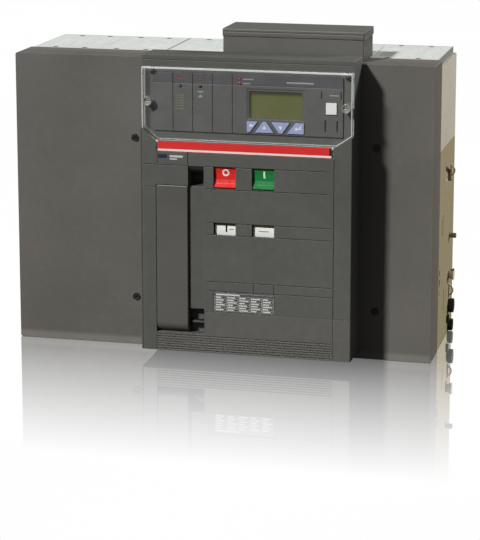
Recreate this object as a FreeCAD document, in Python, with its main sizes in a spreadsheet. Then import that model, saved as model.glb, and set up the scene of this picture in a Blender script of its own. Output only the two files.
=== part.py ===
import FreeCAD, Part
import math
import os
import Sketcher

# Three-pole air circuit breaker, fixed mounting, hand charged.
# Row frame: X to the right, Y to the rear, Z up, millimetres.  The origin is under the
# middle of the bounding box: X = 0 is the middle pole, Y = 0 halfway between the front
# face and the ends of the terminals, Z = 0 the surface that the breaker stands on.

DIMENSIONS = [
    # whole breaker
    ("overall_width", 566, "over the studs on the side plates"),
    ("body_width", 548, "front shield and side plates"),
    ("body_height", 380, "front shield"),
    ("overall_height", 418, "with the auxiliary terminal box"),
    ("overall_depth", 302, "front panel to the ends of the terminals"),
    ("block_depth", 61, "front panel ahead of the shield"),
    ("lip_depth", 59, "shield's rim"),
    ("terminal_length", 48, "terminals behind the poles"),
    ("gap", 0.3, "between neighbouring pieces"),
    ("wall", 3, "plastic covers and zinc-plated sheet"),
    ("running", 0.05, "radial clearance of a shaft in its bore"),
    # operating panel
    ("block_left", -90, "left side of the front cover"),
    ("block_right", 182, "right side of the front cover"),
    ("block_bottom", 12, "underside of the front cover"),
    ("block_top", 390, "top of the front cover's rim"),
    ("bay_depth", 12, "bay of the trip unit behind the front panel"),
    ("shoulder_height", 297, "where the panel's sides meet the clear cover"),
    ("strip_top", 283.5, "top of the coloured strip"),
    ("strip_bottom", 270, "bottom of the coloured strip"),
    ("strip_left", -66, "left end of the coloured strip"),
    ("strip_right", 156, "right end of the coloured strip"),
    ("joint_height", 66, "joint between front cover and lower panel"),
    ("grille_top", 35.5, "top of the ribbed strip"),
    ("panel_left", -6, "left edge of the central panel"),
    ("panel_right", 159, "right edge of the central panel"),
    ("line_width", 0.9, "moulded lines on the panel"),
    ("line_depth", 0.7, "moulded lines on the panel"),
    # charging lever and its grip recess
    ("lever_left", -68.5, "left side of the lever"),
    ("lever_right", -27.5, "right side of the lever"),
    ("lever_top", 227.2, "top end of the lever"),
    ("lever_pivot_height", 48.5, "axis of the lever's shaft"),
    ("lever_nose", 12, "round lower end of the lever"),
    ("lever_thick", 15, "lever, front to back"),
    ("lever_shaft_radius", 4, "lever shaft"),
    ("slot_depth", 17, "lever slot behind the panel's face"),
    ("recess_right", -6.5, "right side of the grip recess"),
    ("recess_depth", 5, "shallow part of the grip recess"),
    ("grip_bottom", 226.3, "finger hole of the grip recess"),
    ("grip_top", 253, "upper edge of the finger hole's curved roof"),
    ("grip_depth", 31, "finger hole of the grip recess"),
    ("pocket_top", 68, "lower end of the shallow recess"),
    # push buttons and indicator windows
    ("button_width", 28.5, "opening of a push button"),
    ("button_bottom", 225.5, "opening of a push button"),
    ("button_top", 253.6, "opening of a push button"),
    ("off_left", 6, "OFF button's opening"),
    ("on_left", 55.4, "ON button's opening"),
    ("window_bottom", 166, "indicator windows"),
    ("window_top", 182, "indicator windows"),
    ("flag_setback", 5, "flag behind the panel's face"),
    ("flag_radius", 35, "flag about its pivot"),
    ("flag_pivot_height", 171, "pivots of both flags"),
    ("reset_left", -65, "reset button"),
    ("reset_width", 11, "reset button"),
    ("reset_bottom", 261.5, "reset button"),
    ("reset_height", 5.5, "reset button"),
    ("plate_left", 5.6, "rating plate"),
    ("plate_width", 79.4, "rating plate"),
    ("plate_bottom", 66.9, "rating plate"),
    ("plate_height", 25.5, "rating plate"),
    # trip unit and its clear cover
    ("unit_left", -74, "trip unit's face"),
    ("unit_right", 168, "trip unit's face"),
    ("unit_bottom", 295, "trip unit's face"),
    ("unit_top", 369, "trip unit's face"),
    ("unit_depth", 43, "trip unit's case"),
    ("module_width", 25.5, "plug-in modules beside the display"),
    ("screen_left", 49, "display"),
    ("screen_right", 117, "display"),
    ("screen_bottom", 315, "display"),
    ("screen_top", 349, "display"),
    ("key_bottom", 297.5, "membrane keys"),
    ("key_top", 311, "membrane keys"),
    ("cover_left", -86.4, "clear cover"),
    ("cover_right", 181.5, "clear cover"),
    ("cover_top", 377, "clear cover"),
    ("cover_wall", 2, "clear cover"),
    ("cover_hinge_y", -145.5, "hinge axis of the clear cover"),
    ("cover_hinge_z", 373.5, "hinge axis of the clear cover"),
    ("cover_screw_left", -79.6, "quarter-turn screw"),
    ("cover_screw_right", 173.8, "quarter-turn screw"),
    ("cover_screw_height", 333, "quarter-turn screws"),
    ("cover_screw_head", 5.5, "radius of a quarter-turn screw's head"),
    # shield
    ("shield_screw_left", -113, "shield screws"),
    ("shield_screw_right", 201.5, "shield screws"),
    ("shield_screw_low", 63, "shield screws"),
    ("shield_screw_high", 274, "shield screws"),
    # poles
    ("pole_pitch", 180, "from pole to pole"),
    ("pole_bottom", 20, "underside of the pole housings"),
    ("pole_wall", 5, "pole housings"),
    ("chute_bottom", 290, "arc chutes"),
    ("chute_plate", 8, "top plate of an arc chute"),
    ("side_plate_top", 261, "zinc-plated side plates"),
    ("terminal_width", 150, "main terminals"),
    ("terminal_thick", 15, "main terminals"),
    ("upper_terminal_bottom", 236, "upper terminals"),
    ("lower_terminal_bottom", 96, "lower terminals"),
    ("terminal_hole", 6.5, "radius of the terminal holes, for M12"),
    ("terminal_hole_x", 90, "terminal holes, across"),
    ("terminal_hole_y", 25, "terminal holes, along"),
    ("terminal_hole_back", 12, "last holes from the terminal's end"),
    ("contact_y", 40, "face of the fixed contacts"),
    ("pivot_y", 62, "pivot of the moving contacts"),
    ("pivot_z", 118, "pivots of the moving contacts and main shaft"),
    ("main_shaft_y", -58, "main shaft"),
    ("main_shaft_radius", 10, "main shaft"),
    ("crank_y", -6, "crank pin from the shaft's axis"),
    ("crank_z", 44, "crank pin from the shaft's axis"),
    ("crank_pin", 4, "radius of the crank pins"),
    # mechanism
    ("frame_left", -60, "left plate of the mechanism"),
    ("frame_right", 155, "right plate of the mechanism"),
    ("frame_front", -126, "mechanism plates"),
    ("frame_back", -33, "mechanism plates"),
    ("frame_bottom", 18, "mechanism plates"),
    ("frame_top", 280, "mechanism plates"),
    ("cam_y", -106, "camshaft"),
    ("cam_z", 84, "camshaft"),
    ("cam_base", 12, "smallest radius of the cam"),
    ("cam_lift", 25, "stroke of the closing springs"),
    ("cam_turn", 150, "degrees of the camshaft for one stroke"),
    ("cam_x", 120, "middle of the cam"),
    ("roller", 8, "radius of the cam roller"),
    ("roller_clearance", 2.4, "roller above the lowest part of the cam"),
    ("ratchet_radius", 16.6, "ratchet wheel"),
    ("spring_reach", 17, "closing springs from the cam's middle"),
    ("spring_radius", 10, "closing springs"),
    ("spring_wire", 3.2, "closing springs"),
    ("spring_seat", 200, "fixed end of the closing springs"),
    # auxiliary terminal box
    ("box_left", 0, "auxiliary terminal box"),
    ("box_right", 181, "auxiliary terminal box"),
    ("box_front", -75, "auxiliary terminal box"),
    ("box_back", -10, "auxiliary terminal box"),
    ("box_lid", 408, "joint of the auxiliary terminal box"),
    # fixing
    ("flange_width", 49, "bottom flanges of the side plates"),
    ("foot_hole", 5.5, "radius of the fixing holes, for M10"),
    ("foot_hole_x", 516, "fixing holes, across"),
    ("foot_hole_y", 90, "fixing holes, along"),
    ("foot_hole_middle", 35, "middle of the fixing holes"),
]

doc = FreeCAD.newDocument("air_circuit_breaker")
sheet = doc.addObject("Spreadsheet::Sheet", "dims")
for row, (alias, amount, note) in enumerate(DIMENSIONS, start=1):
    sheet.set(f"A{row}", note)
    sheet.set(f"B{row}", str(amount))
    sheet.setAlias(f"B{row}", alias)
doc.recompute()


class Size:
    """A length that knows its value and the spreadsheet expression that it comes from."""

    def __init__(self, text, value):
        self.text = text
        self.value = value

    def __add__(self, other):
        other = size(other)
        return Size(f"({self.text} + {other.text})", self.value + other.value)

    def __sub__(self, other):
        other = size(other)
        return Size(f"({self.text} - {other.text})", self.value - other.value)

    def __mul__(self, other):
        other = size(other)
        return Size(f"({self.text} * {other.text})", self.value * other.value)

    def __truediv__(self, other):
        other = size(other)
        return Size(f"({self.text} / {other.text})", self.value / other.value)

    def __neg__(self):
        return Size(f"(0 - {self.text})", -self.value)

    __radd__ = __add__

    def __rsub__(self, other):
        return size(other) - self


def size(thing):
    """A plain number or a Size, as a Size."""
    if isinstance(thing, Size):
        return thing
    return Size(f"({thing})", float(thing))


class Sheet:
    """The spreadsheet's cells by name."""


d = Sheet()
for alias, amount, note in DIMENSIONS:
    setattr(d, alias, Size(f"dims.{alias}", float(amount)))

# planes that most pieces are placed from
FRONT = -d.overall_depth / 2
BACK = d.overall_depth / 2
BAY = FRONT + d.bay_depth
SHIELD = FRONT + d.block_depth
SHIELD_BACK = SHIELD + d.lip_depth
POLE_FRONT = SHIELD_BACK + 1
POLE_BACK = BACK - d.terminal_length
HALF = d.body_width / 2
POLE_HALF = d.pole_pitch / 2 - 0.5
POLES = [(1, -d.pole_pitch), (2, size(0)), (3, d.pole_pitch)]
LEVER_PIVOT_Y = FRONT + d.lever_nose
CRANK_Y = d.main_shaft_y + d.crank_y
CRANK_Z = d.pivot_z + d.crank_z
DRIVE_Y = d.pivot_y + d.crank_y
CHUTE_TOP = d.body_height
CHUTE_SCREW_COLUMNS = (-62, -22, 22, 62)
CHUTE_SCREW_ROWS = (POLE_FRONT + 9, POLE_BACK - 9)
CHUTE_SCREW_SEAT = 4
CHUTE_SCREW_HEAD = 3.7
CROSSHEAD_Z = d.cam_z + d.cam_base + d.roller + d.roller_clearance

nodes = {}


def name_node(label, thing):
    """Make an object of the document a sub-part with its own label."""
    thing.Label = label
    nodes[label] = thing
    return thing


# ---------------------------------------------------------------- primitives and booleans

def bind(thing, prop, amount):
    thing.setExpression(prop, size(amount).text)


def box(x, y, z):
    """A block between three pairs of places."""
    solid = doc.addObject("Part::Box", "block")
    for side, place, (low, high) in zip(("Length", "Width", "Height"), "xyz", (x, y, z)):
        bind(solid, side, size(high) - low)
        bind(solid, f"Placement.Base.{place}", low)
    return solid


TURNS = {"x": FreeCAD.Rotation(FreeCAD.Vector(0, 1, 0), 90),
         "y": FreeCAD.Rotation(FreeCAD.Vector(1, 0, 0), -90),
         "z": FreeCAD.Rotation()}
ACROSS = {"x": "yz", "y": "xz", "z": "xy"}


def along(solid, axis, centre, low):
    """Turn a solid's own Z to an axis and put its foot at low on that axis."""
    solid.Placement = FreeCAD.Placement(FreeCAD.Vector(), TURNS[axis])
    for place, amount in zip(ACROSS[axis], centre):
        bind(solid, f"Placement.Base.{place}", amount)
    bind(solid, f"Placement.Base.{axis}", low)
    return solid


def rod(axis, centre, radius, low, high):
    """A cylinder along an axis, centre given by its two other coordinates."""
    solid = doc.addObject("Part::Cylinder", "rod")
    bind(solid, "Radius", radius)
    bind(solid, "Height", size(high) - low)
    return along(solid, axis, centre, low)


def cone(axis, centre, low_radius, high_radius, low, high):
    solid = doc.addObject("Part::Cone", "cone")
    bind(solid, "Radius1", low_radius)
    bind(solid, "Radius2", high_radius)
    bind(solid, "Height", size(high) - low)
    return along(solid, axis, centre, low)


def fuse(*parts):
    joined = doc.addObject("Part::MultiFuse", "joined")
    joined.Shapes = list(parts)
    joined.Refine = True
    return joined


def cut(base, *tools):
    result = doc.addObject("Part::Cut", "cut")
    result.Base = base
    result.Tool = tools[0] if len(tools) == 1 else fuse(*tools)
    return result


def group(*parts):
    """Separate solids that share a node."""
    bundle = doc.addObject("Part::Compound", "group")
    bundle.Links = list(parts)
    return bundle


# ---------------------------------------------------------------- sketched pieces

PLANES = {"front": "XZ_Plane", "side": "YZ_Plane", "top": "XY_Plane"}
AXES = {"x": "X_Axis", "y": "Y_Axis", "z": "Z_Axis"}


def rect(left, right, low, high):
    return [(left, low), (right, low), (right, high), (left, high)]


def disc(across, up, radius):
    return (size(across), size(up), size(radius))


class Piece:
    """A PartDesign body made of pads and pockets.

    Sketches lie on the front plane (X, Z), the side plane (Y, Z) or the top plane (X, Y);
    a span is the pair of places along the third axis that a pad or pocket fills."""

    def __init__(self, label):
        self.body = name_node(label, doc.addObject("PartDesign::Body", label))

    def origin(self, role):
        return next(f for f in self.body.Origin.OriginFeatures if f.Role == role)

    def sketch(self, plane, at, outlines):
        sketch = self.body.newObject("Sketcher::SketchObject", "sketch")
        sketch.AttachmentSupport = [(self.origin(PLANES[plane]), "")]
        sketch.MapMode = "FlatFace"
        bind(sketch, "AttachmentOffset.Base.z", -size(at) if plane == "front" else at)
        for outline in outlines:
            if isinstance(outline, tuple):
                self.draw_circle(sketch, *outline)
            else:
                self.draw_polygon(sketch, outline)
        return sketch

    def fix(self, sketch, kind, *where):
        *place, amount = where
        number = sketch.addConstraint(Sketcher.Constraint(kind, *place, amount.value))
        sketch.setExpression(f"Constraints[{number}]", amount.text)

    def draw_circle(self, sketch, across, up, radius):
        centre = FreeCAD.Vector(across.value, up.value, 0)
        edge = sketch.addGeometry(Part.Circle(centre, FreeCAD.Vector(0, 0, 1), radius.value))
        self.fix(sketch, "Radius", edge, radius)
        self.fix(sketch, "DistanceX", edge, 3, across)
        self.fix(sketch, "DistanceY", edge, 3, up)

    def draw_polygon(self, sketch, outline):
        corners = [(size(u), size(v)) for u, v in outline]
        points = [FreeCAD.Vector(u.value, v.value, 0) for u, v in corners]
        edges = []
        for start, end in zip(points, points[1:] + points[:1]):
            edges.append(sketch.addGeometry(Part.LineSegment(start, end)))
        for edge, after in zip(edges, edges[1:] + edges[:1]):
            sketch.addConstraint(Sketcher.Constraint("Coincident", edge, 2, after, 1))
        for edge, (u, v) in zip(edges, corners):
            self.fix(sketch, "DistanceX", edge, 1, u)
            self.fix(sketch, "DistanceY", edge, 1, v)

    def finish(self, feature):
        """Make a feature the body's last one and work out the body's shape."""
        self.body.Tip = feature
        doc.recompute([self.body])

    def pad(self, plane, span, *outlines):
        low, high = size(span[0]), size(span[1])
        feature = self.body.newObject("PartDesign::Pad", "pad")
        feature.Profile = self.sketch(plane, high if plane == "front" else low, outlines)
        bind(feature, "Length", high - low)
        self.finish(feature)
        return feature

    def pocket(self, plane, span, *outlines):
        before = self.body.Shape.Volume
        low, high = size(span[0]), size(span[1])
        feature = self.body.newObject("PartDesign::Pocket", "pocket")
        feature.Profile = self.sketch(plane, low if plane == "front" else high, outlines)
        bind(feature, "Length", high - low)
        self.finish(feature)
        if self.body.Shape.Volume > before - 1e-3:
            raise ValueError(f"a pocket of {self.body.Label} cuts nothing")
        return feature

    def repeat(self, feature, axis, length, count):
        pattern = self.body.newObject("PartDesign::LinearPattern", "row")
        pattern.Originals = [feature]
        pattern.Direction = (self.origin(AXES[axis]), [""])
        bind(pattern, "Length", length)
        pattern.Occurrences = count
        self.finish(pattern)

    def turn(self, feature, axis, count):
        pattern = self.body.newObject("PartDesign::PolarPattern", "ring")
        pattern.Originals = [feature]
        pattern.Axis = (self.origin(AXES[axis]), [""])
        pattern.Angle = 360
        pattern.Occurrences = count
        self.finish(pattern)

    def round(self, radius, axis, *places, kind="Fillet"):
        """Round (or chamfer) the edges along an axis that pass through the places."""
        letters = ACROSS[axis]
        chosen = []
        for number, edge in enumerate(self.body.Shape.Edges, start=1):
            ends = [vertex.Point for vertex in edge.Vertexes]
            if len(ends) < 2 or ends[0].distanceToPoint(ends[-1]) < 0.5:
                continue
            shift = ends[-1] - ends[0]
            if abs(abs(getattr(shift, axis)) - shift.Length) > 1e-4:
                continue
            for u, v in places:
                off_u = abs(getattr(ends[0], letters[0]) - size(u).value)
                off_v = abs(getattr(ends[0], letters[1]) - size(v).value)
                if off_u < 0.01 and off_v < 0.01:
                    chosen.append(f"Edge{number}")
        if not chosen:
            raise ValueError(f"no edge to round on {self.body.Label}")
        last = self.body.Tip
        feature = self.body.newObject(f"PartDesign::{kind}", "edges")
        feature.Base = (last, chosen)
        bind(feature, "Radius" if kind == "Fillet" else "Size", radius)
        self.finish(feature)


# ---------------------------------------------------------------- shield and side plates

def outwards(near, far, side):
    """Two values given outwards from the breaker's middle, in the order of rising X."""
    return (near, far) if side > 0 else (far, near)


def make_shield():
    """Wide grey front shield: a tray open to the rear, with the window of the panel."""
    shield = Piece("front_shield")
    shield.pad("front", (SHIELD, SHIELD_BACK), rect(-HALF, HALF, 0, d.body_height))
    corners = [(-HALF, 0), (HALF, 0), (-HALF, d.body_height), (HALF, d.body_height)]
    shield.round(2, "y", *corners)
    inner = rect(-HALF + d.wall, HALF - d.wall, d.wall, d.body_height - d.wall)
    shield.pocket("front", (SHIELD + d.wall, SHIELD_BACK), inner)
    window = rect(d.block_left + 6, d.block_right - 6, d.block_bottom + 6, d.body_height - 8)
    shield.pocket("front", (SHIELD, SHIELD + d.wall), window)
    screws = [(x, z) for x in (d.shield_screw_left, d.shield_screw_right)
              for z in (d.shield_screw_low, d.shield_screw_high)]
    seat_radius, hole_radius, head_radius, shank_radius, socket_radius = 5.4, 2.6, 4.3, 2.5, 1.9
    seat_floor = SHIELD + 1.6
    seats = [disc(x, z, seat_radius) for x, z in screws]
    shield.pocket("front", (SHIELD, seat_floor), *seats)
    holes = [disc(x, z, hole_radius) for x, z in screws]
    shield.pocket("front", (seat_floor, SHIELD + d.wall), *holes)

    made = []
    for x, z in screws:
        head = rod("y", (x, z), head_radius, SHIELD + 0.2, seat_floor)
        shank = rod("y", (x, z), shank_radius, seat_floor, SHIELD + 14)
        socket = rod("y", (x, z), socket_radius, SHIELD + 0.2, SHIELD + 1.2)
        made.append(cut(fuse(head, shank), socket))
    name_node("shield_screws", group(*made))


def make_side_plate(label, side):
    """Zinc-plated plate with a flange at the bottom; side is -1 on the left, 1 on the right."""
    plate = Piece(label)
    outer, inner = HALF * side, (HALF - d.wall) * side
    span = (inner, outer) if side > 0 else (outer, inner)
    front = SHIELD_BACK + 0.5
    plate.pad("side", span, rect(front, POLE_BACK, 0, d.side_plate_top))
    edge = (HALF - d.flange_width) * side
    flange = (edge, inner) if side > 0 else (inner, edge)
    plate.pad("side", flange, rect(front, POLE_BACK, 0, d.wall))
    window = [(22, 214), (78, 203), (78, 217), (22, 234)]
    slots = [rect(-6, -3.5, 146, 168), rect(4, 6.5, 142, 172), rect(20, 23, 40, 68),
             rect(-24, -17, 96, 104), rect(-24, -17, 82, 92), rect(-22, -18, 70, 76)]
    plate.pocket("side", span, window, *slots)
    holes = []
    for shift in (-0.5, 0.5):
        holes.append(disc(d.foot_hole_x / 2 * side,
                          d.foot_hole_middle + d.foot_hole_y * shift, d.foot_hole))
    plate.pocket("top", (0, d.wall), *holes)


def make_base_plate():
    """Cross plate that ties the flanges of the side plates together."""
    plate = Piece("base_plate")
    reach = HALF - d.flange_width + 20
    plate.pad("top", (d.wall, d.wall * 2), rect(-reach, reach, POLE_FRONT, POLE_BACK - 4))
    vent = plate.pocket("top", (d.wall, d.wall * 2), rect(-200, -188, 0, 70))
    plate.repeat(vent, "x", 388, 5)


def loop_handle(x_plate, side, y, z, reach):
    """Wire loop that stands out of a side plate."""
    ring = doc.addObject("Part::Torus", "ring")
    bind(ring, "Radius1", 7)
    bind(ring, "Radius2", 1.1)
    ring.Placement = FreeCAD.Placement(FreeCAD.Vector(), FreeCAD.Rotation(FreeCAD.Vector(1, 0, 0), 90))
    bind(ring, "Placement.Base.x", x_plate + (reach - 8.1) * side)
    bind(ring, "Placement.Base.y", y)
    bind(ring, "Placement.Base.z", z)
    near, far = x_plate + 0.02 * side, x_plate + 12 * side
    outside = box(outwards(near, far, side), (y - 4, y + 4), (z - 12, z + 12))
    half_ring = doc.addObject("Part::Common", "half_ring")
    half_ring.Base = ring
    half_ring.Tool = outside
    foot_low, foot_high = (near, near + 1.4) if side > 0 else (near - 1.4, near)
    return fuse(half_ring, box((foot_low, foot_high), (y - 3, y + 3), (z - 9, z + 9)))


def make_side_fittings():
    """Studs, catches, knobs and wire loops that both side plates carry."""
    loops = []
    studs = []
    fitting_y = 70
    stud_y = fitting_y - 4
    upper_loop, lower_loop = 219, 56
    pin_height, pin_radius = 132, 3.4
    cone_height, cone_foot, cone_top = 79, 5, 8
    knob_height, knob_radius = 35, 9.5
    notch_count, notch_radius = 16, 0.9
    notch_circle = knob_radius + 0.3
    low_knob_height, low_knob_radius = 8.5, 8
    reach = d.overall_width / 2 - HALF
    for side in (-1, 1):
        face = HALF * side

        def out(near, far):
            return outwards(face + near * side, face + far * side, side)

        loops.append(loop_handle(face, side, fitting_y, upper_loop, 6))
        loops.append(loop_handle(face, side, fitting_y, lower_loop, 6.5))
        studs.append(rod("x", (stud_y, pin_height), pin_radius, *out(0, reach)))
        cone_radii = outwards(cone_foot, cone_top, side)
        studs.append(cone("x", (stud_y, cone_height), *cone_radii, *out(0, 7)))
        knob = rod("x", (fitting_y, knob_height), knob_radius, *out(1, 7))
        notches = []
        for step in range(notch_count):
            angle = math.radians(step * 360 / notch_count)
            centre_y = fitting_y + notch_circle * math.cos(angle)
            centre_z = knob_height + notch_circle * math.sin(angle)
            notches.append(rod("x", (centre_y, centre_z), notch_radius, *out(0.5, 8)))
        neck = rod("x", (fitting_y, knob_height), 4, *out(0, 1))
        studs.append(fuse(cut(knob, *notches), neck))
        studs.append(box(out(0, 3), (52, 60), (15, 25)))
        studs.append(rod("x", (fitting_y, low_knob_height), low_knob_radius, *out(0, 6)))
    name_node("side_loops", group(*loops))
    name_node("side_studs", group(*studs))


def make_side_panels():
    """Insulating panels above the side plates."""
    for label, side in (("side_panel_left", -1), ("side_panel_right", 1)):
        panel = Piece(label)
        span = outwards((HALF - 4) * side, HALF * side, side)
        low = d.side_plate_top + d.gap
        panel.pad("side", span, rect(SHIELD_BACK + 0.5, POLE_BACK, low, d.body_height - d.chute_plate))
        corner = (POLE_BACK, d.body_height - d.chute_plate)
        panel.round(3, "x", corner)


# ---------------------------------------------------------------- front cover and lower panel

def make_front_cover():
    """Moulded operating panel: lever slot, grip recess, buttons, windows, trip unit bay."""
    cover = Piece("front_cover")
    left, right = d.block_left, d.block_right
    low, top = d.block_bottom, d.block_top
    cover.pad("front", (BAY, SHIELD), rect(left, right, low, top))
    shoulder = d.shoulder_height
    panel = [(left, low), (right, low), (right, shoulder), (d.panel_right + 1, d.strip_top),
             (d.strip_left - 3, d.strip_top), (left + 4, shoulder + 1), (left, shoulder + 1)]
    cover.pad("front", (FRONT, BAY), panel)
    cover.round(9, "y", (d.panel_right + 1, d.strip_top), (d.strip_left - 3, d.strip_top),
                (left + 4, shoulder + 1))
    cover.round(5, "z", (left, FRONT))
    cover.round(1.5, "z", (right, FRONT))
    cover.round(2, "y", (left, top), (right, top))

    # hollow from the rear, shallower behind the trip unit's bay
    wall = d.wall
    hollow_top = d.strip_bottom - 1.5
    cover.pocket("front", (FRONT + wall, SHIELD), rect(left + wall, right - wall, low + wall, hollow_top))
    cover.pocket("front", (BAY + wall, SHIELD),
                 rect(left + wall, right - wall, hollow_top, top - wall))

    # box that carries the lever slot and the finger hole
    slot_left, slot_right = d.lever_left - 0.5, d.lever_right + 0.5
    slot_low, slot_top = d.grille_top + 0.5, d.lever_top + 0.5
    slot_back = FRONT + d.slot_depth
    grip_back = FRONT + d.grip_depth
    cover.pad("front", (FRONT + wall, slot_back + wall),
              rect(slot_left - wall, d.recess_right + wall, slot_low - wall, d.grip_bottom + wall))
    roof = [(FRONT, d.grip_top), (FRONT + 1.6, d.grip_top - 1.6), (FRONT + 4.5, d.grip_top - 5),
            (FRONT + 8, d.grip_top - 8), (FRONT + 14, d.grip_top - 10.3), (grip_back, d.grip_top - 11)]
    shell = [(FRONT + wall, d.grip_top + 2), (FRONT + 8, d.grip_top - 2), (FRONT + 14, d.grip_top - 6),
             (grip_back + wall, d.grip_top - 7), (grip_back + wall, d.grip_bottom - wall),
             (FRONT + wall, d.grip_bottom - wall)]
    cover.pad("side", (slot_right - wall, d.recess_right + wall), shell)
    cover.pocket("front", (FRONT, slot_back), rect(slot_left, slot_right, slot_low, slot_top))
    cover.pocket("front", (FRONT, slot_back), rect(slot_right, d.recess_right, slot_low, d.pocket_top))
    cover.pocket("front", (FRONT, FRONT + d.recess_depth),
                 rect(slot_right, d.recess_right, d.pocket_top, d.grip_bottom))
    grip_floor = [(grip_back, d.grip_bottom), (FRONT, d.grip_bottom)]
    cover.pocket("side", (slot_right, d.recess_right), roof + grip_floor)
    # seat of the rating plate
    cover.pocket("front", (FRONT, FRONT + 0.5),
                 rect(d.plate_left - 0.2, d.plate_left + d.plate_width + 0.2,
                      d.plate_bottom - 0.2, d.plate_bottom + d.plate_height + 0.2))
    # slot behind the lever for its drive arm, and the bores of its shaft
    nose_top = d.lever_pivot_height + d.lever_nose + 1
    cover.pocket("front", (slot_back, slot_back + wall), rect(-52, -39, slot_low, 100))
    cover.pocket("front", (slot_back, slot_back + wall), rect(slot_left, slot_right, slot_low, nose_top))
    bore = disc(LEVER_PIVOT_Y, d.lever_pivot_height, d.lever_shaft_radius + d.running)
    cover.pocket("side", (slot_left - wall, d.recess_right + wall), bore)

    # push buttons, reset button and indicator windows
    openings = []
    for left_edge in (d.off_left, d.on_left):
        right_edge = left_edge + d.button_width
        openings.append(rect(left_edge, right_edge, d.button_bottom, d.button_top))
        openings.append(rect(left_edge, right_edge, d.window_bottom, d.window_top))
    openings.append(rect(d.reset_left - 0.2, d.reset_left + d.reset_width + 0.2,
                         d.reset_bottom - 0.2, d.reset_bottom + d.reset_height - 0.7))
    cover.pocket("front", (FRONT, FRONT + wall), *openings)

    # room for the lower panel
    cover.pocket("front", (FRONT, SHIELD), rect(d.panel_left - 0.2, right, low, d.joint_height))
    cover.pocket("front", (FRONT, SHIELD),
                 rect(slot_left - 0.5, d.panel_left - 0.2, low, slot_low - wall))
    cover.pocket("front", (FRONT, FRONT + wall),
                 rect(slot_left - 0.5, d.panel_left - 0.2, slot_low - wall, slot_low))

    # seat of the coloured strip and of the clear cover's legs
    cover.pocket("front", (FRONT, FRONT + 0.8),
                 rect(d.strip_left, d.strip_right, d.strip_bottom, d.strip_top))
    cover.pocket("front", (FRONT, FRONT + 2.6),
                 rect(d.strip_left - 2.6, d.strip_left, d.strip_bottom, d.strip_top + 3),
                 rect(d.strip_right, d.strip_right + 2.6, d.strip_bottom, d.strip_top + 3))

    # trip unit's opening, cover screws' receptacles, ears and pins of the clear cover's hinge
    cover.pocket("front", (BAY, BAY + wall),
                 rect(d.unit_left - 0.3, d.unit_right + 0.3, d.unit_bottom - 0.3, d.unit_top + 0.3),
                 disc(d.cover_screw_left, d.cover_screw_height, 3.3),
                 disc(d.cover_screw_right, d.cover_screw_height, 3.3))
    for ear in (d.cover_left + 7, d.cover_right - 11):
        profile = rect(d.cover_hinge_y - 2.2, BAY, d.cover_hinge_z - 2.2, d.cover_hinge_z + 1)
        cover.pad("side", (ear, ear + 4), profile)
        cover.pad("side", (ear - 2.5, ear + 6.5), disc(d.cover_hinge_y, d.cover_hinge_z, 1.2))

    # moulded lines
    lines = []
    half = d.line_width / 2
    for height in (253, 224.5):
        lines.append(rect(left + 6, slot_right, height - half, height + half))
        lines.append(rect(d.recess_right + 1.5, d.panel_right - 5, height - half, height + half))
    for height in (181.5, 166, 105.5, 93.5):
        lines.append(rect(d.panel_left + 3, d.panel_right - 1, height - half, height + half))
    for line in lines:
        cover.pocket("front", (FRONT, FRONT + d.line_depth), line)
    uprights = [rect(d.panel_right, d.panel_right + d.line_width, d.joint_height, d.strip_bottom),
                rect(d.lever_right, d.lever_right + 1.2, d.grip_top + 1, d.strip_bottom),
                rect(d.strip_left - 1, d.strip_left - 0.2, 254, d.strip_bottom),
                rect(57.2, 58, 94.2, 104.8), rect(83.2, 84, 94.2, 104.8)]
    for line in uprights:
        cover.pocket("front", (FRONT, FRONT + d.line_depth), line)
    rim = d.block_top - 6
    cover.pocket("front", (BAY, BAY + d.line_depth), rect(left + 4, right - 4, rim, rim + d.line_width))


def make_lower_panel():
    """Separate lower panel with the ribbed strip under the lever."""
    panel = Piece("lower_panel")
    left, right = d.lever_left - 0.7, d.block_right
    low, top = d.block_bottom, d.joint_height - d.gap
    outline = [(left, low), (right, low), (right, top), (d.panel_left, top),
               (d.panel_left, d.grille_top), (left, d.grille_top)]
    panel.pad("front", (FRONT, SHIELD), outline)
    panel.round(1.5, "z", (right, FRONT))
    wall = d.wall
    panel.pocket("front", (FRONT + wall, SHIELD),
                 rect(left + wall, right - wall, low + wall, d.grille_top - 0.1))
    panel.pocket("front", (FRONT + wall, SHIELD),
                 rect(d.panel_left + wall, right - wall, d.grille_top - 0.2, top - wall))
    panel.pocket("front", (FRONT + wall, SHIELD),
                 rect(left, d.recess_right + wall + 0.3, low + wall * 4, top))
    panel.pocket("front", (FRONT + 20, SHIELD),
                 rect(d.panel_left + wall, right - wall, top - wall - 0.1, top))
    rib = panel.pocket("front", (FRONT, FRONT + 1.2),
                       rect(left + 1, d.panel_right - 1, low + 1.6, low + 2.9))
    panel.repeat(rib, "z", d.grille_top - low - 4.6, 7)
    panel.pocket("front", (FRONT, FRONT + d.line_depth),
                 rect(d.panel_right, d.panel_right + d.line_width, low, top))


def make_labels():
    """Coloured strip over the panel and the blank rating plate."""
    strip = Piece("name_strip")
    strip.pad("front", (FRONT + 0.05, FRONT + 0.75),
              rect(d.strip_left + 0.2, d.strip_right - 0.2, d.strip_bottom + 0.2, d.strip_top - 0.3))
    plate = Piece("rating_plate")
    plate.pad("front", (FRONT + 0.02, FRONT + 0.42),
              rect(d.plate_left, d.plate_left + d.plate_width,
                   d.plate_bottom, d.plate_bottom + d.plate_height))


# ---------------------------------------------------------------- charging lever

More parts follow.
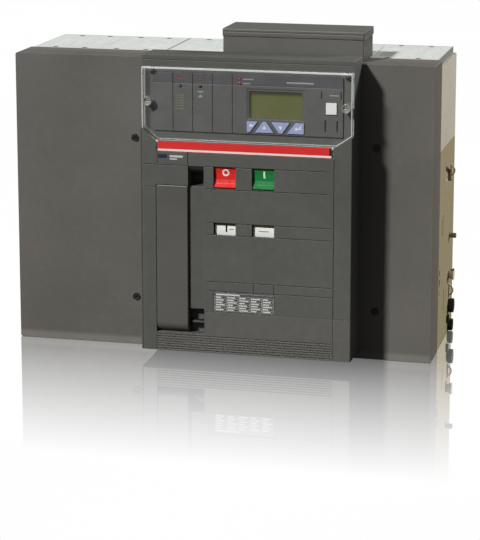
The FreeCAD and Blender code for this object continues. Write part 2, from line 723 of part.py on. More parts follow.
def make_lever():
    """Charging lever: hollow moulding with a round lower end on its steel shaft."""
    lever = Piece("charging_lever")
    back = FRONT + d.lever_thick
    span = (d.lever_left, d.lever_right)
    pivot = d.lever_pivot_height
    lever.pad("side", span, rect(FRONT, back, pivot, d.lever_top))
    lever.pad("side", span, disc(LEVER_PIVOT_Y, pivot, d.lever_nose))
    lever.round(1.5, "x", (FRONT, d.lever_top))
    lever.round(1.2, "z", (d.lever_left, FRONT), (d.lever_right, FRONT))
    hollow = rect(d.lever_left + 3, d.lever_right - 3, pivot + 22, d.lever_top - 4)
    lever.pocket("front", (FRONT + 3.5, back), hollow)
    lever.pocket("side", span, disc(LEVER_PIVOT_Y, pivot, d.lever_shaft_radius))
    lever.pocket("side", (-51, -39.5), rect(LEVER_PIVOT_Y - 6, FRONT + 26, 30, pivot + 20))

    shaft = Piece("lever_shaft")
    shaft_line = disc(LEVER_PIVOT_Y, pivot, d.lever_shaft_radius)
    shaft.pad("side", (d.lever_left - 4.5, d.recess_right + 2.9), shaft_line)
    y, z = LEVER_PIVOT_Y, pivot
    arm = [(y - 4, z - 4), (y + 14, z - 13), (y + 22, z - 11), (y + 22, z - 4),
           (y + 5, z + 5), (y - 4, z + 5)]
    arm_span = (-50, -44)
    pawl_pin, pawl_reach, pawl_drop = 2, 17, 7.5
    shaft.pad("side", arm_span, arm)
    shaft.pocket("side", arm_span, disc(y + pawl_reach, z - pawl_drop, pawl_pin + d.running))

    pawl = Piece("drive_pawl")
    y, z = y + pawl_reach, z - pawl_drop
    finger = [(y - 4.5, z - 4), (y + 4.5, z - 4), (y + 4.5, z + 5), (y - 1, z + 23), (y - 4, z + 23)]
    pawl.pad("side", (-43.7, -40.7), finger)
    pawl.pad("side", (-50.5, -43.7), disc(y, z, pawl_pin))


# ---------------------------------------------------------------- buttons and flags

def make_push_button(label, left):
    """Push button with a hollowed face, a lip along its foot and a flange behind the panel."""
    button = Piece(label)
    low, high = d.button_bottom + 1.4, d.button_top - 0.5
    span = (left + 1, left + d.button_width - 0.5)
    profile = [(FRONT + 9, low), (FRONT + 0.6, low), (FRONT + 0.4, low + 1.2), (FRONT + 3.6, low + 5.2),
               (FRONT + 4.8, low + 10), (FRONT + 4.6, low + 18), (FRONT + 3.2, high), (FRONT + 9, high)]
    button.pad("side", span, profile)
    flange = rect(left - 2, left + d.button_width + 2, d.button_bottom - 2, d.button_top + 2)
    button.pad("front", (FRONT + 6, FRONT + 9), flange)
    middle = left + d.button_width / 2
    button.pad("front", (FRONT + 9, FRONT + 34), rect(middle - 5, middle + 5, 236, 244))
    button.round(1, "x", (FRONT + 3.2, high))


def make_reset_button():
    """Reset button of the trip signal, flush when the breaker has not tripped."""
    button = Piece("reset_button")
    low = d.reset_bottom
    face = rect(d.reset_left, d.reset_left + d.reset_width, low, low + d.reset_height - 0.9)
    button.pad("front", (FRONT + 0.4, FRONT + 14), face)
    flange = rect(d.reset_left - 1.5, d.reset_left + d.reset_width + 1.5, low - 1, low + d.reset_height)
    button.pad("front", (FRONT + 8, FRONT + 10), flange)


def make_flag(label, left):
    """Two-field indicator: part of a drum on an arm that turns behind its window."""
    y, z = FRONT + d.flag_setback + d.flag_radius, d.flag_pivot_height
    span = (left + 0.8, left + d.button_width - 0.8)
    reach = d.flag_radius
    points = []
    for step in range(13):
        angle = math.radians(-16 + step * 5)
        points.append((y - reach * math.cos(angle), z + reach * math.sin(angle)))
    for step in range(12, -1, -1):
        angle = math.radians(-16 + step * 5)
        points.append((y - (reach - 1.6) * math.cos(angle), z + (reach - 1.6) * math.sin(angle)))
    flag = Piece(label)
    flag.pad("side", span, points)
    middle = left + d.button_width / 2
    flag.pad("side", (middle - 1.5, middle + 1.5), rect(y - reach + 1, y, z + 2, z + 7))
    flag.pad("side", (middle - 4, middle + 4), disc(y, z + 1.5, 4.5))
    flag.pocket("side", (middle - 4, middle + 4), disc(y, z, 1.5 + d.running))


# ---------------------------------------------------------------- trip unit

KEYS = [
    ("key_back", [(47, 0), (50.5, 0), (60.4, 1), (47, 1)]),
    ("key_up", [(57.4, 0), (81, 0), (71.4, 1), (67.2, 1)]),
    ("key_down", [(78.2, 1), (101.4, 1), (92, 0), (87.6, 0)]),
    ("key_enter", [(98, 0), (119.2, 0), (119.2, 1), (108.6, 1)]),
]
TEST_BUTTON = (147, 160.4, 323.6, 338)


def key_outline(shape, margin):
    """Outline of a key, grown by a margin; heights run from 0 at its foot to 1 at its top."""
    middle = sum(x for x, up in shape) / len(shape)
    outline = []
    for x, up in shape:
        height = d.key_top + margin if up else d.key_bottom - margin
        outline.append((middle + (x - middle) * (1 + margin / 7), height))
    return outline


def make_trip_unit():
    """Electronic trip unit: case, face plate, display, keys and test button."""
    case = Piece("trip_unit_body")
    face_back = BAY + 1
    case_outline = rect(d.unit_left + 1, d.unit_right - 1, d.unit_bottom + 1, d.unit_top - 1)
    case.pad("front", (face_back + 1.6, BAY + d.unit_depth), case_outline)

    face = Piece("trip_unit_face")
    front = BAY - 2
    face.pad("front", (front, face_back), rect(d.unit_left, d.unit_right, d.unit_bottom, d.unit_top))
    face.pocket("front", (front, face_back),
                rect(d.screen_left, d.screen_right, d.screen_bottom, d.screen_top))
    for label, shape in KEYS:
        face.pocket("front", (front, face_back), key_outline(shape, 0.35))
    left, right, low, high = TEST_BUTTON
    face.pocket("front", (front, face_back), rect(left - 0.3, right + 0.3, low - 0.3, high + 0.3))
    bezel = rect(d.screen_left - 2.4, d.screen_right + 2.4, d.screen_bottom - 1.4, d.screen_top + 3)
    face.pocket("front", (front, front + 0.8), bezel)
    lines = []
    for number in range(1, 5):
        x = d.unit_left + d.module_width * number
        lines.append(rect(x - 0.4, x + 0.4, d.unit_bottom + 0.5, d.unit_top - 0.5))
    face.pocket("front", (front, front + 0.7), *lines)
    header = d.unit_top - 13.5
    face.pocket("front", (front, front + 0.3), rect(d.unit_left + 1, d.unit_right - 1, header, header + 0.7))
    sockets = [rect(140.4, 141.8, 342, 352), rect(165, 166.4, 342, 352),
               rect(145.2, 147, 301, 316), rect(160.2, 162, 301, 316)]
    face.pocket("front", (front, front + 2), *sockets)

    screen = Piece("lcd_screen")
    screen.pad("front", (front + 1.6, face_back + 0.4),
               rect(d.screen_left + 0.1, d.screen_right - 0.1, d.screen_bottom + 0.1, d.screen_top - 0.1))

    for label, shape in KEYS:
        key = Piece(label)
        key.pad("front", (front - 1.6, face_back + 0.1), key_outline(shape, 0))
    button = Piece("test_button")
    button.pad("front", (front - 1.8, face_back + 0.1), rect(left, right, low, high))
    button.round(0.8, "y", (left, low), (left, high), (right, low), (right, high))


def make_clear_cover():
    """Clear cover over the trip unit, hinged on the ears of the front cover."""
    cover = Piece("clear_cover")
    left, right, top = d.cover_left, d.cover_right, d.cover_top
    shoulder = d.shoulder_height + 1.6
    foot = d.strip_top + 0.6
    outline = [(left, top), (left, shoulder + 1), (d.strip_left - 3, foot),
               (d.panel_right + 1, foot), (right, shoulder), (right, top)]
    back = BAY - 0.8
    cover.pad("front", (FRONT, back), outline)
    cover.round(8, "y", (d.strip_left - 3, foot), (d.panel_right + 1, foot))
    cover.round(4, "y", (left, shoulder + 1), (right, shoulder))
    wall = d.cover_wall
    inner = [(left + wall, top - wall), (left + wall, shoulder + 2), (d.strip_left - 2, foot + wall),
             (d.panel_right, foot + wall), (right - wall, shoulder + 1), (right - wall, top - wall)]
    cover.pocket("front", (FRONT + wall, back), inner)
    cover.round(1.2, "x", (FRONT, top))
    cover.round(1.6, "x", (back, top), kind="Chamfer")
    legs = [rect(d.strip_left - 2.4, d.strip_left - 0.2, d.strip_bottom + 0.2, foot + 1),
            rect(d.strip_right + 0.2, d.strip_right + 2.4, d.strip_bottom + 0.2, foot + 1)]
    cover.pad("front", (FRONT, FRONT + 2.2), *legs)
    # lugs of the hinge
    for ear in (left + 7, right - 11):
        for low in (ear - 2.2, ear + 4.2):
            lug = rect(d.cover_hinge_y - 2.6, d.cover_hinge_y + 2.6, d.cover_hinge_z - 2.6, top - wall)
            cover.pad("side", (low, low + 2), lug)
            cover.pocket("side", (low, low + 2), disc(d.cover_hinge_y, d.cover_hinge_z, 1.2 + d.running))
    # gaps in the top wall that clear the ears when the cover swings up
    gaps = [rect(ear - 0.2, ear + 4.2, d.cover_hinge_y - 3, back) for ear in (left + 7, right - 11)]
    cover.pocket("top", (top - wall, top), *gaps)
    # bosses of the quarter-turn screws
    boss_back = BAY - 2.4
    for x in (d.cover_screw_left, d.cover_screw_right):
        cover.pad("front", (FRONT + wall, boss_back), disc(x, d.cover_screw_height, d.cover_screw_head + 1.2))
        cover.pocket("front", (FRONT, FRONT + 5), disc(x, d.cover_screw_height, d.cover_screw_head + 0.1))
        cover.pocket("front", (FRONT + 5, boss_back), disc(x, d.cover_screw_height, 2.5 + d.running))


def make_cover_screw(label, x):
    """Captive quarter-turn screw of the clear cover."""
    screw = Piece(label)
    z = d.cover_screw_height
    screw.pad("front", (FRONT + 0.3, FRONT + 4.8), disc(x, z, d.cover_screw_head))
    screw.pad("front", (FRONT + 4.8, BAY + 3.4), disc(x, z, 2.5))
    screw.pocket("front", (FRONT + 0.3, FRONT + 1.5), disc(x, z, d.cover_screw_head - 1.2))
    screw.pocket("front", (FRONT + 1.5, FRONT + 3), rect(x - 3.4, x + 3.4, z - 0.8, z + 0.8))


# ---------------------------------------------------------------- poles

def pole_span(x, half):
    return (x - half, x + half)


def make_pole_housing(number, x):
    """Moulded housing of one pole, open at the top for its arc chute."""
    housing = Piece(f"pole_housing_{number}")
    top = d.body_height - d.chute_plate - d.gap
    half = POLE_HALF
    wall = d.pole_wall
    housing.pad("top", (d.pole_bottom, top), rect(x - half, x + half, POLE_FRONT, POLE_BACK))
    housing.pocket("top", (d.pole_bottom + wall, top),
                   rect(x - half + wall, x + half - wall, POLE_FRONT + wall, POLE_BACK - wall))
    slot_half = 14
    housing.pocket("front", (POLE_FRONT, POLE_FRONT + wall), rect(x - slot_half, x + slot_half, 140, 182))
    reach = d.terminal_width / 2 + d.gap
    thick = d.terminal_thick
    ports = []
    for low in (d.lower_terminal_bottom, d.upper_terminal_bottom):
        ports.append(rect(x - reach, x + reach, low - d.gap, low + thick + d.gap))
    housing.pocket("front", (POLE_BACK - wall, POLE_BACK), *ports)
    ribs = housing.pocket("front", (POLE_BACK - 2, POLE_BACK), rect(x - 80, x + 80, 275, 279))
    housing.repeat(ribs, "z", 70, 6)


def make_arc_chute(number, x):
    """Arc chute: insulating box, open below, under a vented top plate."""
    chute = Piece(f"arc_chute_{number}")
    top = CHUTE_TOP
    plate_low = top - d.chute_plate
    half = POLE_HALF - d.pole_wall - 0.5
    front, back = POLE_FRONT + d.pole_wall + 0.5, POLE_BACK - d.pole_wall - 0.5
    chute.pad("top", (plate_low, top - 0.4), rect(x - POLE_HALF, x + POLE_HALF, POLE_FRONT, POLE_BACK))
    chute.pad("top", (d.chute_bottom, plate_low), rect(x - half, x + half, front, back))
    chambers = [rect(x - half + d.wall, x - 2, front + d.wall, back - d.wall),
                rect(x + 2, x + half - d.wall, front + d.wall, back - d.wall)]
    chute.pocket("top", (d.chute_bottom, plate_low - 2), *chambers)
    chute.pocket("top", (top - 1.6, top - 0.4), rect(x - 1, x + 1, POLE_FRONT + 14, POLE_BACK - 14))
    vents = []
    for side in (-1, 1):
        for column in range(3):
            middle = x + side * (17 + column * 26)
            vents.append(rect(middle - 9, middle + 9, POLE_FRONT + 24, POLE_FRONT + 27))
    vent = chute.pocket("top", (top - 2.4, top - 0.4), *vents)
    chute.repeat(vent, "y", 80, 11)
    seats = [disc(x + dx, y, CHUTE_SCREW_SEAT) for dx in CHUTE_SCREW_COLUMNS for y in CHUTE_SCREW_ROWS]
    chute.pocket("top", (top - 1.4, top - 0.4), *seats)


def make_chute_fillings():
    """Splitter plates inside the chutes and the screws on top of them."""
    plates = []
    screws = []
    for number, x in POLES:
        for side in (-1, 1):
            middle = x + side * 41.5
            low, high = d.chute_bottom + 12, d.body_height - 12
            for step in range(9):
                y = POLE_FRONT + 22 + step * 11
                sheet_plate = box((middle - 37, middle + 37), (y, y + 2), (low, high))
                notch = box((middle - 8, middle + 8), (y - 1, y + 3), (low - 1, low + 20))
                plates.append(cut(sheet_plate, notch))
        for dx in CHUTE_SCREW_COLUMNS:
            for y in CHUTE_SCREW_ROWS:
                head = rod("z", (x + dx, y), CHUTE_SCREW_HEAD, CHUTE_TOP - 1.4, CHUTE_TOP - 0.5)
                slot = box((x + dx - 3, x + dx + 3), (y - 0.5, y + 0.5), (CHUTE_TOP - 1, CHUTE_TOP))
                screws.append(cut(head, slot))
    name_node("arc_splitter_plates", group(*plates))
    name_node("arc_chute_screws", group(*screws))


def terminal_holes(x, low, high):
    made = []
    rear = BACK - d.terminal_hole_back
    for shift in (-0.5, 0.5):
        for y in (rear, rear - d.terminal_hole_y):
            made.append(rod("z", (x + d.terminal_hole_x * shift, y), d.terminal_hole, low - 1, high + 1))
    return made


def make_terminals():
    """Copper terminals: the upper ones carry the fixed contacts, the lower ones the pivots."""
    uppers = []
    lowers = []
    pins = []
    sensors = []
    wide = d.terminal_width / 2
    narrow = wide - 16
    for number, x in POLES:
        low = d.upper_terminal_bottom
        high = low + d.terminal_thick
        bar = box(pole_span(x, wide), (d.contact_y, BACK), (low, high))
        pad = box(pole_span(x, wide), (d.contact_y, d.contact_y + 9), (low - 14, high + 11))
        uppers.append(cut(fuse(bar, pad), *terminal_holes(x, low, high)))
        low = d.lower_terminal_bottom
        high = low + d.terminal_thick
        tail = box(pole_span(x, wide), (d.pivot_y + 22, BACK), (low, high))
        neck = box(pole_span(x, narrow), (d.pivot_y, d.pivot_y + 23), (low, high))
        knuckle = rod("x", (d.pivot_y, d.pivot_z), 16, x - narrow, x + narrow)
        bore = rod("x", (d.pivot_y, d.pivot_z), 6, x - narrow - 1, x + narrow + 1)
        lowers.append(cut(fuse(tail, neck, knuckle), bore, *terminal_holes(x, low, high)))
        pins.append(rod("x", (d.pivot_y, d.pivot_z), 6, x - wide, x + wide))
        ring = box(pole_span(x, wide + 8), (d.pivot_y + 25, d.pivot_y + 35), (low - 15, high + 15))
        hole = box(pole_span(x, wide + 1), (d.pivot_y + 24, d.pivot_y + 36), (low - 1, high + 1))
        sensors.append(cut(ring, hole))
    name_node("upper_terminals", group(*uppers))
    name_node("lower_terminals", group(*lowers))
    name_node("contact_pivot_pins", group(*pins))
    name_node("current_sensors", group(*sensors))


def make_moving_contact(number, x):
    """Cluster of contact fingers between two cheeks that swing on the pivot pin."""
    y, z = d.pivot_y, d.pivot_z
    wide = d.terminal_width / 2 - 3
    thick = 10
    face = d.contact_y - 0.2
    contact = Piece(f"moving_contact_{number}")
    bar_low, bar_high = z + 54, d.upper_terminal_bottom + 24
    contact.pad("side", (x - wide, x + wide), rect(face - 15, face, bar_low, bar_high))
    cheek = [(y - 9, z - 10), (y + 9, z - 10), (y + 9, z + 10), (face, bar_low + 10),
             (face - 15, bar_low + 10), (face - 15, bar_low - 4), (y - 13, z + 4)]
    contact.pad("side", (x - wide, x - wide + thick), cheek)
    contact.pad("side", (x + wide - thick, x + wide), cheek)
    bore = disc(y, z, 6 + d.running)
    contact.pocket("side", (x - wide, x + wide), bore)
    # finger gaps and the slot that the link passes
    gaps = []
    for step in range(-5, 6):
        middle = x + step * 12
        gaps.append(rect(middle - 0.8, middle + 0.8, bar_low + 34, bar_high))
    contact.pocket("front", (face - 15, face), *gaps)
    contact.pocket("front", (face - 15, face), rect(x - 5.5, x + 5.5, bar_low, bar_low + 30))
    pin_y, pin_z = DRIVE_Y, CRANK_Z
    lug = [(face - 6, bar_low + 4), (face - 6, bar_low + 20), (face, bar_low + 20), (pin_y + 7, pin_z + 3),
           (pin_y + 7, pin_z - 6), (pin_y - 6, pin_z - 6), (face, bar_low + 2)]
    contact.pad("side", (x - 11, x - 5.5), lug)
    contact.pad("side", (x + 5.5, x + 11), lug)
    contact.pad("side", (x - 11, x + 11), disc(pin_y, pin_z, d.crank_pin))


def make_contact_link(number, x):
    """Insulating link from a crank of the main shaft to a moving contact."""
    link = Piece(f"contact_link_{number}")
    span = (x - 4.5, x + 4.5)
    link.pad("side", span, rect(CRANK_Y, DRIVE_Y, CRANK_Z - 4.5, CRANK_Z + 4.5))
    link.pad("side", span, disc(CRANK_Y, CRANK_Z, 7.5))
    link.pad("side", span, disc(DRIVE_Y, CRANK_Z, 7.5))
    link.pocket("side", span, disc(CRANK_Y, CRANK_Z, d.crank_pin + d.running))
    link.pocket("side", span, disc(DRIVE_Y, CRANK_Z, d.crank_pin + d.gap))


def make_main_shaft():
    """Main shaft with a forked crank for every pole."""
    y, z = d.main_shaft_y, d.pivot_z
    shaft = Piece("main_shaft")
    reach = d.pole_pitch + 40
    shaft.pad("side", (-reach, reach), disc(y, z, d.main_shaft_radius))
    crank = [(y - 15, z), (y, z - 15), (y + 15, z), (CRANK_Y + 7, CRANK_Z), (CRANK_Y, CRANK_Z + 7),
             (CRANK_Y - 7, CRANK_Z)]
    for number, x in POLES:
        shaft.pad("side", (x - 11, x - 5), crank)
        shaft.pad("side", (x + 5, x + 11), crank)
        shaft.pad("side", (x - 11, x + 11), disc(CRANK_Y, CRANK_Z, d.crank_pin))


# ---------------------------------------------------------------- mechanism

def make_mechanism_frame():
    """Two steel plates with their cross bars, bearings and the guide rods of the springs."""
    left, right = d.frame_left, d.frame_right
    plates = []
    for low in (left, right):
        plate = box((low, low + d.wall), (d.frame_front, d.frame_back), (d.frame_bottom, d.frame_top))
        window = box((low - 1, low + 4), (-100, -50), (150, 240))
        shaft_hole = rod("x", (d.main_shaft_y, d.pivot_z), d.main_shaft_radius + d.running, low - 1, low + 4)
        cam_hole = rod("x", (d.cam_y, d.cam_z), 6 + d.running, low - 1, low + 4)
        plates.append(cut(plate, window, shaft_hole, cam_hole))
    lid = box((left, right + d.wall), (-90, -40), (d.frame_top - 0.5, d.frame_top + 3))
    floor = box((left, right + d.wall), (-84, d.frame_back), (d.frame_bottom - 3, d.frame_bottom + 0.5))
    seat = box((88, right + 0.5), (d.cam_y - 12, d.cam_y + 12), (d.spring_seat, d.spring_seat + 5))
    rods = []
    for side in (-1, 1):
        x = d.cam_x + d.spring_reach * side
        rods.append(rod("z", (x, d.cam_y), 4, CROSSHEAD_Z + 14, d.spring_seat + 1))
    name_node("mechanism_frame", fuse(*plates, lid, floor, seat, *rods))
    actuator = Piece("trip_actuator")
    actuator.pad("top", (228, 262), rect(20, 62, -84, -44))
    actuator.pad("top", (262, 279.3), rect(30, 52, -74, -54))
    actuator.round(3, "z", (20, -84), (62, -84), (20, -44), (62, -44))


def spiral(radius, lift, turn):
    """Outline of a cam whose radius grows evenly as it turns past the top."""
    points = []
    steps = 15
    for step in range(steps + 1):
        share = step / steps
        angle = math.radians(90 - turn * share)
        reach = radius + lift * share
        points.append(FreeCAD.Vector(0, reach * math.cos(angle), reach * math.sin(angle)))
    return points


def make_camshaft():
    """Camshaft with the closing cam, and the ratchet wheel beside it."""
    y, z = d.cam_y.value, d.cam_z.value
    base, lift, turn = d.cam_base.value, d.cam_lift.value, d.cam_turn.value
    curve = Part.BSplineCurve()
    curve.interpolate(spiral(base, lift, turn))
    start, end = curve.StartPoint, curve.EndPoint
    heel_angle = math.radians(-180)
    heel = FreeCAD.Vector(0, base * math.cos(heel_angle), base * math.sin(heel_angle))
    back = Part.Arc(end * (base / end.Length), FreeCAD.Vector(0, -base * 0.87, -base * 0.5), heel)
    over = Part.Arc(heel, FreeCAD.Vector(0, -base * 0.5, base * 0.87), start)
    face = Part.LineSegment(end, end * (base / end.Length))
    wire = Part.Wire([curve.toShape(), face.toShape(), back.toShape(), over.toShape()])
    cam = Part.Face(wire).extrude(FreeCAD.Vector(8, 0, 0))
    cam.translate(FreeCAD.Vector(d.cam_x.value - 4, 0, 0))
    low = d.frame_left.value
    length = d.frame_right.value + d.wall.value - low
    shaft = Part.makeCylinder(6, length, FreeCAD.Vector(low, 0, 0), FreeCAD.Vector(1, 0, 0))
    camshaft = doc.addObject("Part::Feature", "camshaft")
    camshaft.Shape = shaft.fuse(cam).removeSplitter()
    camshaft.Placement = FreeCAD.Placement(FreeCAD.Vector(0, y, z), FreeCAD.Rotation())
    name_node("camshaft", camshaft)

    wheel = Piece("ratchet_wheel")
    wheel.pad("side", (-43.7, -38.7), disc(0, 0, d.ratchet_radius))
    reach = d.ratchet_radius
    tooth = wheel.pocket("side", (-43.7, -38.7), [(reach + 1, 0), (reach + 1, 6), (reach - 3, 0)])
    wheel.turn(tooth, "x", 14)
    wheel.pocket("side", (-43.7, -38.7), disc(0, 0, 6))
    wheel.body.Placement.Base.y = y
    wheel.body.setExpression("Placement.Base.y", d.cam_y.text)
    wheel.body.setExpression("Placement.Base.z", d.cam_z.text)


def make_closing_springs():
    """Crosshead with its roller on the cam, and the two springs that it compresses."""
    x, y, z = d.cam_x, d.cam_y, CROSSHEAD_Z
    crosshead = Piece("spring_crosshead")
    reach = d.spring_reach + 12
    crosshead.pad("side", (x - reach, x + reach), rect(y - 9, y + 9, z + 10, z + 15))
    for side in (-1, 1):
        low = x + (5.5 if side > 0 else -8.5)
        crosshead.pad("side", (low, low + 3), rect(y - 6, y + 6, z - 5, z + 10))
    crosshead.pad("side", (x - 8.5, x + 8.5), disc(y, z, 3))
    crosshead.pad("side", (x - 4.5, x + 4.5), disc(y, z, d.roller))
    for side in (-1, 1):
        hole = disc(x + d.spring_reach * side, y, 4 + d.gap)
        crosshead.pocket("top", (z + 10, z + 15), hole)

    springs = []
    low, high = z.value + 15.2 + d.spring_wire.value / 2, d.spring_seat.value - d.spring_wire.value / 2 - 0.2
    for side in (-1, 1):
        helix = Part.makeHelix((high - low) / 6, high - low, d.spring_radius.value - d.spring_wire.value / 2)
        helix.translate(FreeCAD.Vector(x.value + side * d.spring_reach.value, y.value, low))
        start = helix.Edges[0].valueAt(helix.Edges[0].FirstParameter)
        tangent = helix.Edges[0].tangentAt(helix.Edges[0].FirstParameter)
        profile = Part.Wire([Part.Circle(start, tangent, d.spring_wire.value / 2).toShape()])
        springs.append(Part.Wire(helix.Edges).makePipeShell([profile], True, True))
    coils = doc.addObject("Part::Feature", "closing_springs")
    coils.Shape = Part.makeCompound(springs)
    name_node("closing_springs", coils)


# ---------------------------------------------------------------- auxiliary terminal box

def make_terminal_box():
    """Terminal box on top of the breaker: tray with a cable slot, lid and terminal blocks."""
    left, right, front, back = d.box_left, d.box_right, d.box_front, d.box_back
    low, joint, top = d.body_height, d.box_lid, d.overall_height
    tray = Piece("terminal_box")
    tray.pad("top", (low, joint), rect(left, right, front, back))
    wall = 2.5
    tray.pocket("top", (low + wall, joint), rect(left + wall, right - wall, front + wall, back - wall))
    tray.pocket("front", (back - wall, back), rect(left + 14, right - 14, low + 7, low + 21))
    lid = Piece("terminal_box_lid")
    lid.pad("top", (joint + 0.2, top), rect(left - 1, right + 1, front - 1, back + 1))
    lid.pocket("top", (joint + 0.2, joint + 6), rect(left + wall, right - wall, front + wall, back - wall))
    lid.round(1.5, "x", (front - 1, top))
    lid.round(1.5, "y", (left - 1, top), (right + 1, top))
    lid.pocket("front", (front - 1, front - 0.4), rect(left + 1, right - 1, top - 4.6, top - 3.8))
    blocks = []
    block_count, block_pitch = 14, 11.8
    for step in range(block_count):
        x = left + 8 + step * block_pitch
        block = box((x, x + 11), (front + 6, front + 30), (low + wall, low + 22))
        entry = box((x + 3, x + 8), (front + 18, front + 31), (low + 8, low + 14))
        screw = rod("z", (x + 5.5, front + 12), 3, low + 16, low + 23)
        blocks.append(cut(block, entry, screw))
    name_node("terminal_blocks", group(*blocks))


# ---------------------------------------------------------------- build, test and export

def build_all():
    make_shield()
    make_side_plate("side_plate_left", -1)
    make_side_plate("side_plate_right", 1)
    make_base_plate()
    make_side_panels()
    make_side_fittings()
    make_front_cover()
    make_lower_panel()
    make_labels()
    make_lever()
    make_push_button("off_button", d.off_left)
    make_push_button("on_button", d.on_left)
    make_reset_button()
    make_flag("position_flag", d.off_left)
    make_flag("charge_flag", d.on_left)
    make_trip_unit()
    make_clear_cover()
    make_cover_screw("cover_screw_left", d.cover_screw_left)
    make_cover_screw("cover_screw_right", d.cover_screw_right)
    for number, x in POLES:
        make_pole_housing(number, x)
        make_arc_chute(number, x)
        make_moving_contact(number, x)
        make_contact_link(number, x)
    make_chute_fillings()
    make_terminals()
    make_main_shaft()
    make_mechanism_frame()
    make_camshaft()
    make_closing_springs()
    make_terminal_box()


def test_document():
    """Stop if any object failed to recompute or any sub-part is empty or broken."""
    doc.recompute()
    for thing in doc.Objects:
        if "Invalid" in thing.State or "Error" in thing.State:
            raise ValueError(f"{thing.Label} did not recompute: {thing.State}")
    for label, thing in nodes.items():
        shape = thing.Shape
        if shape.isNull() or not shape.isValid() or not shape.Solids:
            raise ValueError(f"{label} has no valid solid")


build_all()
test_document()
os.makedirs("parts", exist_ok=True)
for label, thing in nodes.items():
    thing.Shape.exportStep(f"parts/{label}.step")
print(len(nodes), "nodes written")
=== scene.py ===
import bmesh
import bpy
import math
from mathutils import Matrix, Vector


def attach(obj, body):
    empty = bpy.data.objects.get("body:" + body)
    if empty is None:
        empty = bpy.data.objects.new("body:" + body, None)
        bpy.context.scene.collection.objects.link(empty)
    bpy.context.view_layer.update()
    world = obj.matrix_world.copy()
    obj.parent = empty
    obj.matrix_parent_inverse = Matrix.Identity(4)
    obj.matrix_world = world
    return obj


# Looks of a three-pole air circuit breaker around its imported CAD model.  Helpers take
# millimetres in the row frame (X right, Y rear, Z up) and store metres.

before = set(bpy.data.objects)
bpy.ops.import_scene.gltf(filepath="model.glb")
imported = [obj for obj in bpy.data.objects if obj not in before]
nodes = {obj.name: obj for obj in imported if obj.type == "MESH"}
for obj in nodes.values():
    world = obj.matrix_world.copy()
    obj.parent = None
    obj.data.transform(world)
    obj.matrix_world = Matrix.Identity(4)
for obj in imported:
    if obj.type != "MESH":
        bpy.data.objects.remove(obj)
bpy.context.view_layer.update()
MM = 0.001
FACE_Y = -151.0         # front face of the front cover
UNIT_Y = -141.0         # front face of the trip unit
KEY_Y = -142.6          # front faces of its four keys
BOX_RIM = 1.8           # reach of the painted highlight lines along the edges of the terminal box and its lid


def srgb(red, green, blue):
    """Linear colour of display values from 0 to 255."""
    linear = []
    for value in (red, green, blue):
        share = value / 255
        linear.append(share / 12.92 if share <= 0.04045 else ((share + 0.055) / 1.055) ** 2.4)
    return (*linear, 1.0)


def tint(colour, amount):
    """A colour made darker or lighter by a factor."""
    return (*[min(1.0, part * amount) for part in colour[:3]], 1.0)


DUST = srgb(205, 200, 188)


# ---------------------------------------------------------------- materials

